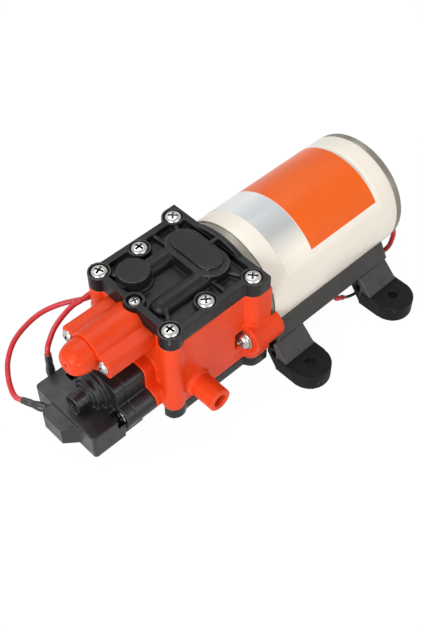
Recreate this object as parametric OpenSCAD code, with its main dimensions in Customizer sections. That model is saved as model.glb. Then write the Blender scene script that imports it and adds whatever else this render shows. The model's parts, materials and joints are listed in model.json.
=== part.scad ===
// Small twelve-volt diaphragm water pump for a caravan, with a pressure switch and a bypass valve.
// Millimetres, +Z up. The origin lies on the ground, midway between the four foot holes.
// +X runs along the motor axis to the motor's rear, and -Y is the side of the near port.

/* [Motor] */
// Height of the motor axis over the ground
axis_height = 30.9; // [30.4:0.1:34]
// Outer diameter of the steel can
can_d = 51; // [50:0.1:51.4]
// Wall of the steel can
can_wall = 1.5; // [1:0.1:2]
// Length of bare can between the pump head and the sleeve
bare_can_l = 4.5; // [3:0.1:6]
// Length of the white sleeve
sleeve_l = 73.6; // [70:0.1:80]
// Thickness of the white sleeve
sleeve_t = 0.5; // [0.3:0.05:0.7]
// Length of the rear cap behind the sleeve
rear_cap_l = 3.9; // [3:0.1:6]
// Diameter of the motor shaft
shaft_d = 5; // [4:0.1:6]
// Radial thickness of the magnets
magnet_t = 3; // [2:0.1:4]
// Air gap between the rotor core and the magnets
air_gap = 0.7; // [0.5:0.05:1]
// Thickness of the label film
label_t = 0.12; // [0.08:0.01:0.2]

/* [Base] */
// Distance between foot holes along the motor
foot_dx = 52; // [48:0.5:56]
// Distance between foot holes across the motor
foot_dy = 81; // [80:0.1:84]
// Diameter of the foot holes
foot_hole_d = 4.4; // [4:0.1:6]
// Radius of the round foot end
foot_r = 8.9; // [8.7:0.1:10.5]
// Thickness of the rubber pad
foot_t = 7.2; // [6.6:0.1:8]
// Wall of the bracket under the motor
bracket_wall = 3; // [2:0.1:3.6]
// Length of the bracket
bracket_l = 67.5; // [66:0.1:69]
// Width of a bracket leg
leg_w = 17.2; // [14:0.1:17.4]
// Thickness of the tongue that holds the foot
tongue_t = 2.4; // [1.6:0.1:3]

/* [Pump head] */
// Length of the head along the motor axis
head_l = 46.3; // [46:0.1:48]
// Width of the head between its side walls
head_w = 46; // [45:0.1:47.5]
// Height of the orange housing
housing_h = 36.8; // [36:0.1:38]
// Height of the upper cover at its rim
cover_t = 6.8; // [6:0.1:7.5]
// Height of the lower cover at its rim
lower_cover_t = 5.4; // [5.2:0.1:6]
// Width of the raised rim on a cover
rim_w = 2.9; // [2:0.1:3.2]
// Depth of the recessed floor below the rim
floor_drop = 3; // [2:0.1:3.4]
// Radius of the round front lugs
front_lug_r = 4.6; // [4.2:0.1:5]
// Radius of the rear lugs
rear_lug_r = 4.7; // [4.4:0.1:5.2]
// Spacing of the front cover screws across the head
front_screw_w = 39.5; // [38.5:0.1:40.5]
// Spacing of the rear cover screws across the head
rear_screw_w = 44.2; // [43:0.1:45]
// Spacing of the middle cover screws across the head
mid_screw_w = 37; // [36.6:0.1:38]
// Distance from the front wall to the front screws
front_screw_in = 1.95; // [1.5:0.05:2.5]
// Distance from the rear wall to the rear screws
rear_screw_in = 4.95; // [4.5:0.05:5.5]
// Distance from the rear screws to the middle screws
mid_screw_dx = 20.65; // [19.5:0.05:21.5]
// Radius of the arched wall behind the upper cover
arch_r = 28; // [27:0.1:28.5]
// Height of the valve chamber above the rim
chamber_up = 3.3; // [2.5:0.1:3.5]
// Height of the lower step of the valve chamber above the rim
step_up = 2; // [1.4:0.1:2.4]
// Half-width of the valve chamber's lower step
chamber_r = 7.6; // [7.2:0.1:8]
// Length of the valve chamber across the head
chamber_l = 28.8; // [27.6:0.1:30]
// Radius of the flow channels on a cover
channel_r = 4.2; // [3.8:0.1:4.4]
// Distance of the flow channels from the middle
channel_y = 8.7; // [8.4:0.1:9.4]

/* [Ports] */
// Outer diameter of a port
port_od = 10; // [9:0.1:11]
// Bore of a port
port_bore = 5.8; // [5:0.1:7]
// Length of a port outside the side wall
port_l = 13; // [10:0.1:18]
// Distance from the front wall to the ports
port_in = 11.3; // [10.5:0.1:12]
// Distance of the ports below the motor axis
port_drop = 11; // [10:0.1:12]

/* [Screws] */
// Nominal diameter of the cover screws
screw_d = 3.4; // [3:0.1:3.6]
// Diameter of the pan heads
head_d = 7; // [6.4:0.1:7.4]
// Height of the pan heads
pan_h = 2.2; // [1.8:0.1:2.6]
// Depth of the recess under a pan head
head_sink = 1.4; // [1:0.1:1.8]
// Radial clearance around a screw
screw_gap = 0.1; // [0.06:0.01:0.15]

/* [Drive] */
// Throw of the drive eccentric
throw = 1.2; // [0.8:0.1:1.3]
// Outer diameter of the drive bearing
bearing_od = 14.4; // [13:0.1:14.6]
// Bore of the drive bearing
bearing_bore = 9; // [8.6:0.1:10]
// Width of the drive bearing
bearing_w = 7; // [5:0.1:8]
// Clearance between moving pieces
run_gap = 0.3; // [0.2:0.05:0.35]
// Radius of the piston discs
piston_r = 9; // [8:0.1:9.4]
// Thickness of the diaphragms
diaphragm_t = 1.6; // [1.2:0.1:1.7]
// Radius of the valve discs
valve_r = 4.5; // [4:0.1:4.7]
// Lift of the valve discs
valve_lift = 1.2; // [0.8:0.1:1.3]

/* [Bypass valve] */
// Height of the bypass axis over the motor axis
bypass_up = 15.4; // [15:0.1:16]
// Outer diameter of the bypass block
bypass_d = 16.4; // [15.6:0.1:17]
// Length of the bypass block in front of the housing
bypass_l = 21.6; // [20:0.1:24]
// Outer diameter of the domed cap
cap_d = 13.8; // [12:0.1:14.4]
// Length of the domed cap
cap_l = 9.6; // [9:0.1:11]
// Bore of the bypass block
bypass_bore = 10; // [9:0.1:10.4]
// Spacing of the two ear screws
ear_screw_w = 19.8; // [19.4:0.1:20.4]

/* [Pressure switch] */
// Distance of the switch axis below the motor axis
switch_drop = 8.2; // [7.6:0.1:8.6]
// Width of the switch body
switch_w = 25; // [24.6:0.1:25.6]
// Height of the switch body above its axis
switch_up = 8.8; // [8.4:0.1:9.4]
// Length of the orange switch base in front of the housing
switch_base_l = 5.7; // [5:0.1:6.5]
// Length of the black rear case
rear_case_l = 9.5; // [9:0.1:10.5]
// Length of the black front case
front_case_l = 4.5; // [4:0.1:5.5]
// Outer diameter of the adjuster tube
tube_d = 8; // [7.6:0.1:8.6]
// Length of the adjuster tube
tube_l = 11.7; // [11:0.1:13]
// Width of the switch box
box_w = 35.5; // [34:0.1:37]
// Length of the switch box
box_l = 24.5; // [23.5:0.1:26]
// Height of the switch box
box_h = 11.9; // [11.4:0.1:12.6]
// Spacing of the switch lobes across the body
lobe_w = 27; // [26.6:0.1:27.4]
// Radius of the switch lobes
lobe_r = 5.2; // [4.9:0.1:5.4]
// Travel of the switch plunger
plunger_travel = 1.2; // [0.8:0.1:1.4]

/* [Leads] */
// Outer diameter of the red leads
lead_d = 2.2; // [1.8:0.1:2.4]
// Outer diameter of the black lead
black_lead_d = 1.4; // [1.2:0.1:1.6]
// Outer diameter of the shrink sleeves on the switch terminals
shrink_d = 3.8; // [3:0.1:4.2]
// Outer diameter of the crimp sleeves
crimp_d = 2.4; // [2.2:0.1:2.8]

/* [Hidden] */
$fn = 64;

// Colours of the finishes
orange_plastic = [0.92, 0.27, 0.12];
black_plastic = [0.16, 0.16, 0.17];
ivory = [0.93, 0.9, 0.85];
rubber_black = [0.12, 0.12, 0.12];
bracket_grey = [0.28, 0.27, 0.26];
steel = [0.75, 0.75, 0.74];
can_grey = [0.52, 0.49, 0.44];
copper = [0.75, 0.42, 0.22];
brass = [0.8, 0.65, 0.3];
lead_red = [0.78, 0.1, 0.15];
silver_film = [0.8, 0.81, 0.82];
pale_rubber = [0.85, 0.83, 0.78];

// Small fit between a sleeve and what it sits on
fit = 0.05;
// Overlap that keeps cuts clean
cut = 0.5;
// Radial clearance of a running fit
run_fit = 0.05;

// Stations along the motor axis, from the front edge of the sleeve
can_r = can_d / 2;
can_in_r = can_r - can_wall;
sleeve_in_r = can_r + fit;
sleeve_r = sleeve_in_r + sleeve_t;
foot_to_sleeve = 6.6;
sleeve_front = -foot_dx / 2 - foot_to_sleeve;
head_rear = -bare_can_l;
head_front = head_rear - head_l;
cap_front = sleeve_l;
cap_rear = sleeve_l + rear_cap_l;

// Heights of the head, from the motor axis
house_top = housing_h / 2;
rim_top = house_top + cover_t;
low_rim_top = house_top + lower_cover_t;
floor_top = rim_top - floor_drop;
step_top = rim_top + step_up;
chamber_top = rim_top + chamber_up;

// Cover screw places
front_row = head_front + front_screw_in;
rear_row = head_rear - rear_screw_in;
mid_row = rear_row - mid_screw_dx;
corner_screws = [[front_row, front_screw_w / 2], [front_row, -front_screw_w / 2],
    [rear_row, rear_screw_w / 2], [rear_row, -rear_screw_w / 2]];
mid_screws = [[mid_row, mid_screw_w / 2], [mid_row, -mid_screw_w / 2]];
nose_screw_in = 2.2;
nose_screw = [head_front + nose_screw_in, 0];
nose_lug_r = 4;
nose_head_d = 5.4;
nose_sink = 2.6;
seat_boss_r = head_d / 2 + 1;
sink_gap = 0.3;
pilot_l = 9.5;

// Drive cavity and the rebate that holds a diaphragm and a valve plate
cavity_front_wall = 7.3;
cavity_rear_wall = 6;
cavity_x0 = head_front + cavity_front_wall;
cavity_x1 = head_rear - cavity_rear_wall;
cavity_y = 13.2;
rebate_x0 = cavity_x0 - 2;
rebate_x1 = cavity_x1 + 2;
rebate_y = cavity_y + 2;
plate_t = 3.3;
rebate_floor = house_top - plate_t - diaphragm_t;
plate_web = 1.8;
plate_under = house_top - plate_web;
plate_rim = 3;

// Valve places and sizes
valve_back = 12.7;
valve_x = head_rear - valve_back;
valve_y = 6.4;
valve_t = 1;
valve_port_r = 2.6;
tower_r = valve_r + 1;
tower_top = house_top + 3.2;
tower_roof = 1.5;
inlet_seat = tower_top - tower_roof;
step_wall = 1.3;
plateau_r = 5.3;
plateau_l = 23.2;
plateau_dx = 0.1;
divider = 0.8;
chamber_roof = step_top - 1.7;

// Flow galleries from the ports to both covers
port_x = head_front + port_in;
gallery_y = 18.2;
gallery_r = 2.4;
duct_top = house_top + 1.8;
duct_r = 1.9;
boss_in = 9.6;
boss_x = head_front + boss_in;
boss_r = 6.3;
boss_step_r = 7.2;
boss_step = 1.2;
ball_in = 7.8;
ball_x = head_front + ball_in;
rib_t = 1.4;
rib_drop = 0.8;
ball_swell = 0.1;
channel_z = house_top + channel_r + ball_swell + fit;
arch_step = 0.6;

// Yoke and pistons
yoke_back = 22.5;
yoke_x = head_rear - yoke_back;
yoke_t = bearing_w + 1;
window_y = bearing_od / 2 + throw + run_gap;
window_z = bearing_od / 2 + 2 * throw + run_gap;
yoke_bar = 1.9;
yoke_side = 2;
stem_r = 3;
piston_t = diaphragm_t;

// Side bosses that take the two screws into the motor's ears
ear_in = 0.65;
ear_turn = 12.08;
side_boss_y = (can_r - ear_in) * cos(ear_turn);
side_boss_z = -(can_r - ear_in) * sin(ear_turn);
side_boss_r = 7;
side_boss_l = 10.4;
side_boss_x0 = head_rear - side_boss_l;
side_boss_x1 = 0;
flank_l = 1.2;
motor_ear_r = 4.4;
side_screw_d = 4;
washer_d = 8.6;
washer_t = 1;
side_screw_l = side_boss_l + washer_t + 2.6;
scoop_l = 4;
can_room = 0.3;

// Bypass block
bypass_front = head_front - bypass_l;
ear_half = 3.6;
ear_low = 4.3;
ear_high = 3.4;
ear_round = 1.6;
bypass_floor = 3;
cap_spigot_l = 4;
cap_straight = 2.2;
cap_tip_r = 2.9;
dome_steps = 8;
cap_front_x = bypass_front - cap_l;
bypass_cavity_r = 4;
poppet_l = 6;
poppet_x = head_front - bypass_floor - poppet_l - run_gap;
bypass_pilot_l = 5;
bypass_screw_l = bypass_l + bypass_pilot_l - 0.6;
bypass_head_d = 5.6;
bypass_pan_h = 1.6;
bypass_adjuster_r = 1.9;
bypass_adjuster_l = 3.4;
bypass_hex = 1.6;
bypass_spring_r = 3;
bypass_wire = 0.8;
bypass_turns = 6;

// Pressure switch
switch_z = -switch_drop;
base_front = head_front - switch_base_l;
seam_x = base_front - rear_case_l;
case_front = seam_x - front_case_l;
tube_front = case_front - tube_l;
lobe_z = -14.4;
lobe_sink = 1.4;
switch_side = lobe_w / 2 + lobe_r + fit;
lobe_scoop = 3;
switch_round = 3;
face_r = 8.5;
face_l = 2.1;
ring_r = 6.9;
ring_l = 4.6;
root_r = 5.4;
root_l = 5.6;
box_y0 = -16;
box_reach = 5;
box_rear = seam_x + box_reach;
box_front = box_rear - box_l;
box_top = -12;
box_wall = 1.5;
box_tuck = 1;
box_round = 1.5;
case_cavity_r = switch_up - 1.2;
case_front_wall = 1.5;
nose_y0 = -8;
nose_y1 = 9;
nose_l = 5.7;
nose_chamfer = 4.6;
nose_low = 0.6;
nose_h = 9;
tube_bore_r = 3;
switch_screw_d = 3;
switch_head_d = 5.4;
switch_pan_h = 1.6;
switch_pilot_l = 5;
pocket_wall = 0.8;
pocket_r = switch_head_d / 2 + sink_gap;
pocket_y = lobe_w / 2 - pocket_r - pocket_wall;
pocket_front = case_front - lobe_scoop - pocket_wall;
switch_screw_l = rear_case_l + front_case_l - lobe_sink + switch_pilot_l - 0.6;
adjuster_l = 4;
adjuster_hex = 3;
adjuster_sink = 0.6;
switch_spring_r = 2.4;
switch_wire = 0.7;
switch_turns = 7;
membrane_r = case_cavity_r - fit;
membrane_t = 1.2;
plunger_r = case_cavity_r - 1.6;
plunger_front = case_front + case_front_wall + plunger_travel + run_gap;
arm_w = 5;
arm_low = -19.8;
button_r = 1.2;
button_z = -18.6;
micro_l = 12.8;
micro_w = 8;
micro_h = 6.2;
micro_rear = case_front + 0.4;

// Terminals and their shrink sleeves, as places in the part's own frame
tab_t = 0.8;
tab_w = 2.4;
nose_tab = [-121, 9, 16.4];
nose_sleeve_end = [-125, 19, 16.4];
side_y = box_y0 + box_w;
side_tab = [-109, side_y + 2.1, 18.4];
side_sleeve_top = [-108.5, side_y + 2.3, 28];
sleeve_grip = 1.5;
tab_drop = 6;
lead_exit_x = 46;

// Motor inside
bell_t = 3;
spigot_l = 2;
hub_r = 8;
hub_l = 8;
bush_r = 4.5;
bush_l = 7;
rear_bush_in = 2.5;
core_x0 = 14;
core_x1 = 54;
slot_count = 5;
slot_w = 2.6;
rotor_d = 2 * (can_in_r - fit - magnet_t - air_gap);
tooth_tip = 3.75;
winding_in = 1;
tooth_neck_r = 8;
slot_r = rotor_d / 2 - tooth_tip;
winding_l = 5;
winding_r = slot_r - winding_in;
winding_bar_r = sqrt(pow(winding_r - 0.4, 2) - pow(1.6 * slot_w, 2));
comm_r = 8;
comm_x0 = 61;
comm_l = 8;
magnet_x0 = 11;
magnet_x1 = 57;
magnet_angle = 118;
holder_x = 69.6;
holder_t = 1.6;
brush_w = 5;
brush_l = 9;
grommet_r = 2.6;
grommet_l = 1.6;
switch_lead_exit = [-12, -2];
black_lead_exit = [-5, -13];
rear_hub_r = 7;
rear_hub_l = 2.2;
rim_roll = 0.6;

// Label film, by angle up from the near side
label_x0 = 8.7;
label_x1 = 66;
label_low = 27;
label_high = 153;

// Bracket profile from the motor axis, on the far side
rail_top = [24.6, -8.8];
rail_low = [28.7, -16.4];
rail_in = [27, -17.5];
saddle_top = -13;
ground = -axis_height;
pad_top = ground + foot_t;
leg_foot_y = 35.2;
leg_root_y = 29.2;
leg_inset = 0.5;
leg_root_drop = 4.5;
rail_root = 20;
leg_top = rail_low + (rail_in - rail_low) * leg_inset;
foot_in_y = 24.6;
foot_in_low = 29.9;
foot_in_z = -24;
tongue_z = pad_top - 1.6;
tongue_end = 5.4;
tongue_side = 2.2;
tongue_hole_gap = 1;
foot_cross_r = 1.8;
foot_cross = [28.4, -22.9];
foot_cross_l = 3;
rail_front = 0.4;

// Lead routes in the part's own frame, points chosen by hand
switch_route = [[46.1, -12, 28.9], [47.4, -12, 28.9], [49, -13.2, 27.4], [49.5, -15.8, 24.4], [49, -18.5, 21],
    [47.5, -21.5, 16.5], [46.5, -22, 12.5], [45.5, -21.5, 8.5], [44, -19.5, 5.2], [43, -15, 4], [42, -9, 3],
    [41.5, 0, 1.5], [40.5, 9, 1.2], [38, 16, 1.2], [33, 21, 1.2], [26, 22.6, 1.2], [18, 22.6, 1.2], [8, 22.6, 1.2],
    [-4, 22.6, 1.2], [-16, 22.6, 1.2], [-28, 22.8, 1.3], [-37, 24, 2], [-45.5, 28.6, 7.4], [-53.5, 29.5, 14.5],
    [-60.5, 29.5, 21.5], [-67, 29, 28.5], [-75, 28.5, 33], [-82.5, 29, 34], [-86.5, 31.5, 33.5], [-92, 35.5, 32],
    [-99, 38.5, 30], [-106.5, 39.2, 27.4], [-113.5, 37.8, 25], [-119.5, 34, 22.4], [-123.3, 29.3, 20],
    [-125.4, 25, 17.8], [-126, 21.6, 16.6], [-125.04, 19.1, 16.4]];
supply_route = [side_sleeve_top + [0, 0, 0.1], side_sleeve_top + [0.1, 0.05, 1.5],
    side_sleeve_top + [1.1, 0.7, 3.1], [-105, 24, 32.2], [-101.5, 26.2, 32.8],
    [-96.5, 27.8, 34], [-90.5, 28.2, 36], [-86.5, 27, 37.5], [-82.5, 26.2, 39], [-75.5, 25.8, 40], [-68, 25.8, 38.5],
    [-61.5, 27, 33.5], [-56.5, 29.4, 26], [-51.5, 32, 18], [-46.5, 31.6, 11], [-41, 29.4, 5.2], [-36, 26.7, 2.2],
    [-29, 25.7, 1.4], [-21, 25.6, 1.4], [-12, 25.6, 1.4]];
black_route = [[46.1, -5, 17.9], [47.3, -5, 17.9], [48.6, -5.9, 16.3], [49, -7.2, 13.3], [48.5, -9, 9],
    [46.5, -11.5, 4], [43.5, -15, 1.2], [39, -19.5, 1], [34, -23, 1], [29, -25.2, 1], [23.5, -26, 1], [18.5, -25.6, 1],
    [15.1, -25.1, 1.7], [12.5, -25, 3.35]];
crimp_tip = [6.8, -25, 7];
supply_crimp_l = 8;
crimp_gap = 0.1;

// Frame that has the motor axis as its X axis and the sleeve's front edge at zero
module from_axis() {
    translate([sleeve_front, 0, axis_height]) children();
}

// Cylinder along +X
module along_x(x0, x1, r, y = 0, z = 0) {
    translate([x0, y, z]) rotate([0, 90, 0]) cylinder(h = x1 - x0, r = r);
}

// Tube along +X
module tube_x(x0, x1, r_out, r_in) {
    difference() {
        along_x(x0, x1, r_out);
        along_x(x0 - cut, x1 + cut, r_in);
    }
}

// Cylinder between two points
module rod(a, b, r) {
    d = b - a;
    translate(a) rotate([0, acos(d.z / norm(d)), atan2(d.y, d.x)]) cylinder(h = norm(d), r = r);
}

// Box from its two corners
module span(a, b) {
    translate(a) cube(b - a);
}

// Upright oblong with round ends, long across the head
module oblong(x, half_w, len, z0, z1) {
    straight = len / 2 - half_w;
    span([x - half_w, -straight, z0], [x + half_w, straight, z1]);
    for (s = [-1, 1]) translate([x, s * straight, z0]) cylinder(h = z1 - z0, r = half_w);
}

// Points on a smooth curve through a route
function spline_point(p, i, t) =
    let (n = len(p) - 1,
        a = p[max(i - 1, 0)], b = p[i], c = p[i + 1], d = p[min(i + 2, n)])
    0.5 * (2 * b + (c - a) * t + (2 * a - 5 * b + 4 * c - d) * t * t + (3 * b - a - 3 * c + d) * t * t * t);
function smooth_route(p, steps) = concat(
    [for (i = [0 : len(p) - 2]) for (k = [0 : steps - 1]) spline_point(p, i, k / steps)], [p[len(p) - 1]]);
function unit(v) = v / norm(v);
function heading(p, i) = unit(p[min(i + 1, len(p) - 1)] - p[max(i - 1, 0)]);

// Side direction carried along the route without twist
function side_step(p, i, s) = let (h = heading(p, i)) unit(s - h * (s * h));
function side_list(p, i, s, done) = i == len(p) ? done
    : let (n = side_step(p, i, s)) side_list(p, i + 1, n, concat(done, [n]));

// Round tube swept along points
module swept(p, r, sides) {
    first = heading(p, 0);
    sway = abs(first.z) < 0.8 ? [0, 0, 1] : [1, 0, 0];
    side = side_list(p, 0, unit(cross(first, sway)), []);
    n = len(p);
    ring = [for (i = [0 : n - 1]) let (h = heading(p, i), u = side[i], v = cross(h, u))
        for (k = [0 : sides - 1]) p[i] + r * (cos(360 * k / sides) * u + sin(360 * k / sides) * v)];
    walls = [for (i = [0 : n - 2]) for (k = [0 : sides - 1])
        let (a = i * sides + k, b = i * sides + (k + 1) % sides) each [[a, b, a + sides], [b, b + sides, a + sides]]];
    near_end = [for (k = [1 : sides - 2]) [0, k + 1, k]];
    far = (n - 1) * sides;
    far_end = [for (k = [1 : sides - 2]) [far, far + k, far + k + 1]];
    polyhedron(points = ring, faces = [for (f = concat(walls, near_end, far_end)) [f[0], f[2], f[1]]]);
}

// Coil spring along +X, eight rings to a turn
function coil(x0, x1, r, turns) = [for (i = [0 : turns * 8])
    let (a = 45 * i) [x0 + (x1 - x0) * i / (turns * 8), r * cos(a), r * sin(a)]];
module spring_x(x0, x1, r, wire, turns) {
    swept(coil(x0 + wire / 2 + fit, x1 - wire / 2 - fit, r - wire / 2, turns), wire / 2, 6);
    echo(spring_gap = (x1 - x0 - wire) / turns - wire);
}

// Plain outline block of the head with its four lugs, between two heights
module head_block(z0, z1) {
    span([head_front, -head_w / 2, z0], [head_rear, head_w / 2, z1]);
    for (s = [-1, 1]) {
        translate([front_row, s * front_screw_w / 2, z0]) cylinder(h = z1 - z0, r = front_lug_r);
        translate([rear_row, s * rear_screw_w / 2, z0]) cylinder(h = z1 - z0, r = rear_lug_r);
        lug_y = rear_screw_w / 2 + rear_lug_r;
        span([rear_row, min(0, s * lug_y), z0], [head_rear, max(0, s * lug_y), z1]);
    }
}

// Raised valve chamber and flow channels of a cover
module cover_relief() {
    relief_low = floor_top - cut;
    oblong(valve_x, chamber_r, chamber_l, relief_low, step_top);
    oblong(valve_x + plateau_dx, plateau_r, plateau_l, relief_low - cut, chamber_top);
    translate([boss_x, channel_y, relief_low]) cylinder(h = floor_top + boss_step - relief_low, r = boss_step_r);
    translate([boss_x, channel_y, relief_low - cut]) cylinder(h = chamber_top - relief_low + cut, r = boss_r);
    along_x(boss_x, valve_x, channel_r, channel_y, channel_z);
    along_x(ball_x, valve_x, channel_r, -channel_y, channel_z);
    translate([ball_x, -channel_y, channel_z]) sphere(r = channel_r + ball_swell);
}

// Upright rib on the cover floor between two places
module floor_rib(a, b, top) {
    d = b - a;
    translate([a.x, a.y, floor_top - cut]) rotate(atan2(d.y, d.x))
        translate([0, -rib_t / 2, 0]) cube([norm(d), rib_t, top - floor_top + cut]);
}

// Stiffening ribs between the rim, the screw bosses and the chamber
module cover_ribs(rim_z) {
    for (s = [-1, 1]) {
        floor_rib([valve_x - 4, s * 12], [valve_x - 4, s * (head_w / 2 - 1)], rim_z - rib_drop);
        floor_rib([valve_x + 2, s * 11], [rear_row, s * rear_screw_w / 2], rim_z - rib_drop);
        floor_rib([boss_x, s * channel_y], [front_row, s * front_screw_w / 2], rim_z - rib_drop);
    }
}

// Recess of a cover, kept clear of the screw seats
module cover_recess(rim_z) {
    difference() {
        span([head_front + rim_w, -head_w / 2 + rim_w, floor_top],
            [head_rear - rim_w, head_w / 2 - rim_w, rim_z + cut]);
        for (p = concat(corner_screws, mid_screws)) translate([p.x, p.y, floor_top - cut])
            cylinder(h = floor_drop + 3 * cut, r = seat_boss_r);
    }
}

// Cover shape without holes, upper side up
module cover_body(rim_z) {
    difference() {
        head_block(house_top, rim_z);
        cover_recess(rim_z);
    }
    cover_relief();
    cover_ribs(rim_z);
}

// Flow spaces under a cover
module cover_spaces() {
    low = house_top - cut;
    difference() {
        oblong(valve_x, chamber_r - step_wall, chamber_l - 2 * step_wall, low, chamber_roof);
        span([head_front, -divider, low - cut], [head_rear, divider, chamber_roof + cut]);
    }
    for (s = [-1, 1]) {
        span([port_x - duct_r, s * channel_y - duct_r, low], [valve_x, s * channel_y + duct_r, duct_top]);
        span([port_x - duct_r, min(s * channel_y, s * (gallery_y + duct_r)), low],
            [port_x + duct_r, max(s * channel_y, s * (gallery_y + duct_r)), duct_top]);
    }
}

// Holes for cover screws, with the sunk seats of their heads
module cover_holes(places, seat_d, sink, rim_z) {
    for (p = places) {
        translate([p.x, p.y, house_top - cut]) cylinder(h = rim_z - house_top + 2 * cut, r = screw_d / 2 + screw_gap);
        translate([p.x, p.y, rim_z - sink]) cylinder(h = sink + cut, r = seat_d / 2 + sink_gap);
    }
}

module upper_cover() {
    color(black_plastic) from_axis() difference() {
        union() {
            cover_body(rim_top);
            translate([nose_screw.x, nose_screw.y, house_top]) cylinder(h = cover_t, r = nose_lug_r);
            intersection() {
                along_x(head_rear - rim_w + arch_step, head_rear, arch_r);
                span([head_front, -head_w / 2, house_top + cut], [head_rear + cut, head_w / 2, arch_r + cut]);
            }
            span([valve_x + plateau_dx, -rib_t / 2, floor_top - cut],
                [head_rear - arch_step, rib_t / 2, chamber_top - rib_drop]);
        }
        cover_spaces();
        cover_holes(concat(corner_screws, mid_screws), head_d, head_sink, rim_top);
        cover_holes([nose_screw], nose_head_d, nose_sink, rim_top);
    }
}

module lower_cover() {
    color(black_plastic) from_axis() mirror([0, 0, 1]) difference() {
        cover_body(low_rim_top);
        cover_spaces();
        cover_holes(concat(corner_screws, mid_screws), head_d, head_sink, low_rim_top);
        span([head_front - front_lug_r - cut, -switch_side, house_top - cut],
            [head_front, switch_side, low_rim_top + cut]);
    }
}

// Pan-head screw pointing down, seated at zero, with a cross recess
module pan_screw(d, len, hd, hh) {
    difference() {
        union() {
            cylinder(h = hh * 0.55, r = hd / 2);
            translate([0, 0, hh * 0.55]) cylinder(h = hh * 0.45, r1 = hd / 2, r2 = hd * 0.32);
            translate([0, 0, -len]) cylinder(h = len + fit, r = d / 2);
        }
        for (a = [0, 90]) rotate(a)
            translate([-hd * 0.26, -hd * 0.07, hh * 0.4]) cube([hd * 0.52, hd * 0.14, hh]);
    }
}

// Six cover screws that hold a cover of a given rim height
module cover_screw_set(rim_z) {
    for (p = concat(corner_screws, mid_screws)) translate([p.x, p.y, rim_z - head_sink])
        pan_screw(screw_d, rim_z - house_top - head_sink + pilot_l - 1, head_d, pan_h);
}

module upper_cover_screws() {
    color(steel) from_axis() {
        cover_screw_set(rim_top);
        translate([nose_screw.x, nose_screw.y, rim_top - nose_sink])
            pan_screw(screw_d, cover_t - nose_sink + pilot_l - 1, nose_head_d, pan_h);
    }
}

module lower_cover_screws() {
    color(steel) from_axis() mirror([0, 0, 1]) cover_screw_set(low_rim_top);
}

// Round side boss that reaches back over a motor ear
module side_boss(s) {
    along_x(side_boss_x0, side_boss_x1, side_boss_r, s * side_boss_y, side_boss_z);
    span([side_boss_x0, min(s * side_boss_y, 0), side_boss_z - side_boss_r],
        [head_rear, max(s * side_boss_y, 0), side_boss_z + side_boss_r]);
}

// Holes and hollows of a side boss
module side_boss_hollow(s) {
    along_x(side_boss_x0 - cut, head_rear + cut, side_screw_d / 2 + screw_gap, s * side_boss_y, side_boss_z);
    along_x(side_boss_x0 - scoop_l, side_boss_x0, washer_d / 2 + sink_gap, s * side_boss_y, side_boss_z);
    along_x(head_rear, side_boss_x1 + cut, motor_ear_r + can_room, s * side_boss_y, side_boss_z);
}

// Round outline of the pressure switch with its two screw lobes
module switch_outline(x0, x1) {
    low = lobe_z - lobe_r;
    top = switch_z + switch_up;
    span([x0, -switch_w / 2, low], [x1, switch_w / 2, top - switch_round]);
    span([x0, -switch_w / 2 + switch_round, low], [x1, switch_w / 2 - switch_round, top]);
    for (s = [-1, 1]) {
        along_x(x0, x1, switch_round, s * (switch_w / 2 - switch_round), top - switch_round);
        along_x(x0, x1, lobe_r, s * lobe_w / 2, lobe_z);
        span([x0, min(0, s * lobe_w / 2), lobe_z - lobe_r], [x1, max(0, s * lobe_w / 2), lobe_z + lobe_r]);
    }
}

module pump_housing() {
    color(orange_plastic) from_axis() difference() {
        union() {
            head_block(-house_top, house_top);
            for (s = [-1, 1]) {
                side_boss(s);
                translate([port_x, 0, -port_drop]) rotate([s * -90, 0, 0])
                    cylinder(h = head_w / 2 + port_l, r = port_od / 2);
                translate([port_x, 0, -port_drop]) rotate([s * -90, 0, 0])
                    cylinder(h = head_w / 2 + 1.2, r = port_od / 2 + 0.8);
            }
            switch_outline(base_front, head_front + cut);
            flank_y = rear_screw_w / 2 + rear_lug_r;
            span([rear_row, -flank_y, -house_top], [head_rear + flank_l, flank_y, house_top]);
        }
        span([cavity_x0, -cavity_y, -house_top - cut], [cavity_x1, cavity_y, house_top + cut]);
        for (s = [-1, 1]) {
            span([rebate_x0, -rebate_y, s > 0 ? rebate_floor : -house_top - cut],
                [rebate_x1, rebate_y, s > 0 ? house_top + cut : -rebate_floor]);
            translate([port_x, s * gallery_y, -house_top - cut]) cylinder(h = housing_h + 2 * cut, r = gallery_r);
            translate([port_x, s * gallery_y, -port_drop]) rotate([s * -90, 0, 0])
                cylinder(h = head_w + port_l, r = port_bore / 2);
            side_boss_hollow(s);
            along_x(base_front - cut, base_front + switch_pilot_l, switch_screw_d / 2 + screw_gap, s * lobe_w / 2, lobe_z);
            along_x(head_front - cut, head_front + bypass_pilot_l, screw_d / 2 + screw_gap, s * ear_screw_w / 2, bypass_up);
            for (p = concat(corner_screws, mid_screws)) translate([p.x, p.y, s > 0 ? house_top - pilot_l : -house_top - cut])
                cylinder(h = pilot_l + cut, r = screw_d / 2 + screw_gap);
        }
        translate([nose_screw.x, nose_screw.y, house_top - pilot_l])
            cylinder(h = pilot_l + cut, r = screw_d / 2 + screw_gap);
        along_x(cavity_x1 - cut, head_rear + cut, shaft_d / 2 + 2);
        along_x(head_rear, side_boss_x1 + cut, sleeve_r + can_room);
        along_x(base_front - cut, base_front + 2.2, 4, 0, switch_z);
        span([head_front, -switch_side - cut, lobe_z - lobe_r - cut],
            [head_front + 2 * cut, switch_side + cut, -house_top]);
    }
}

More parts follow.
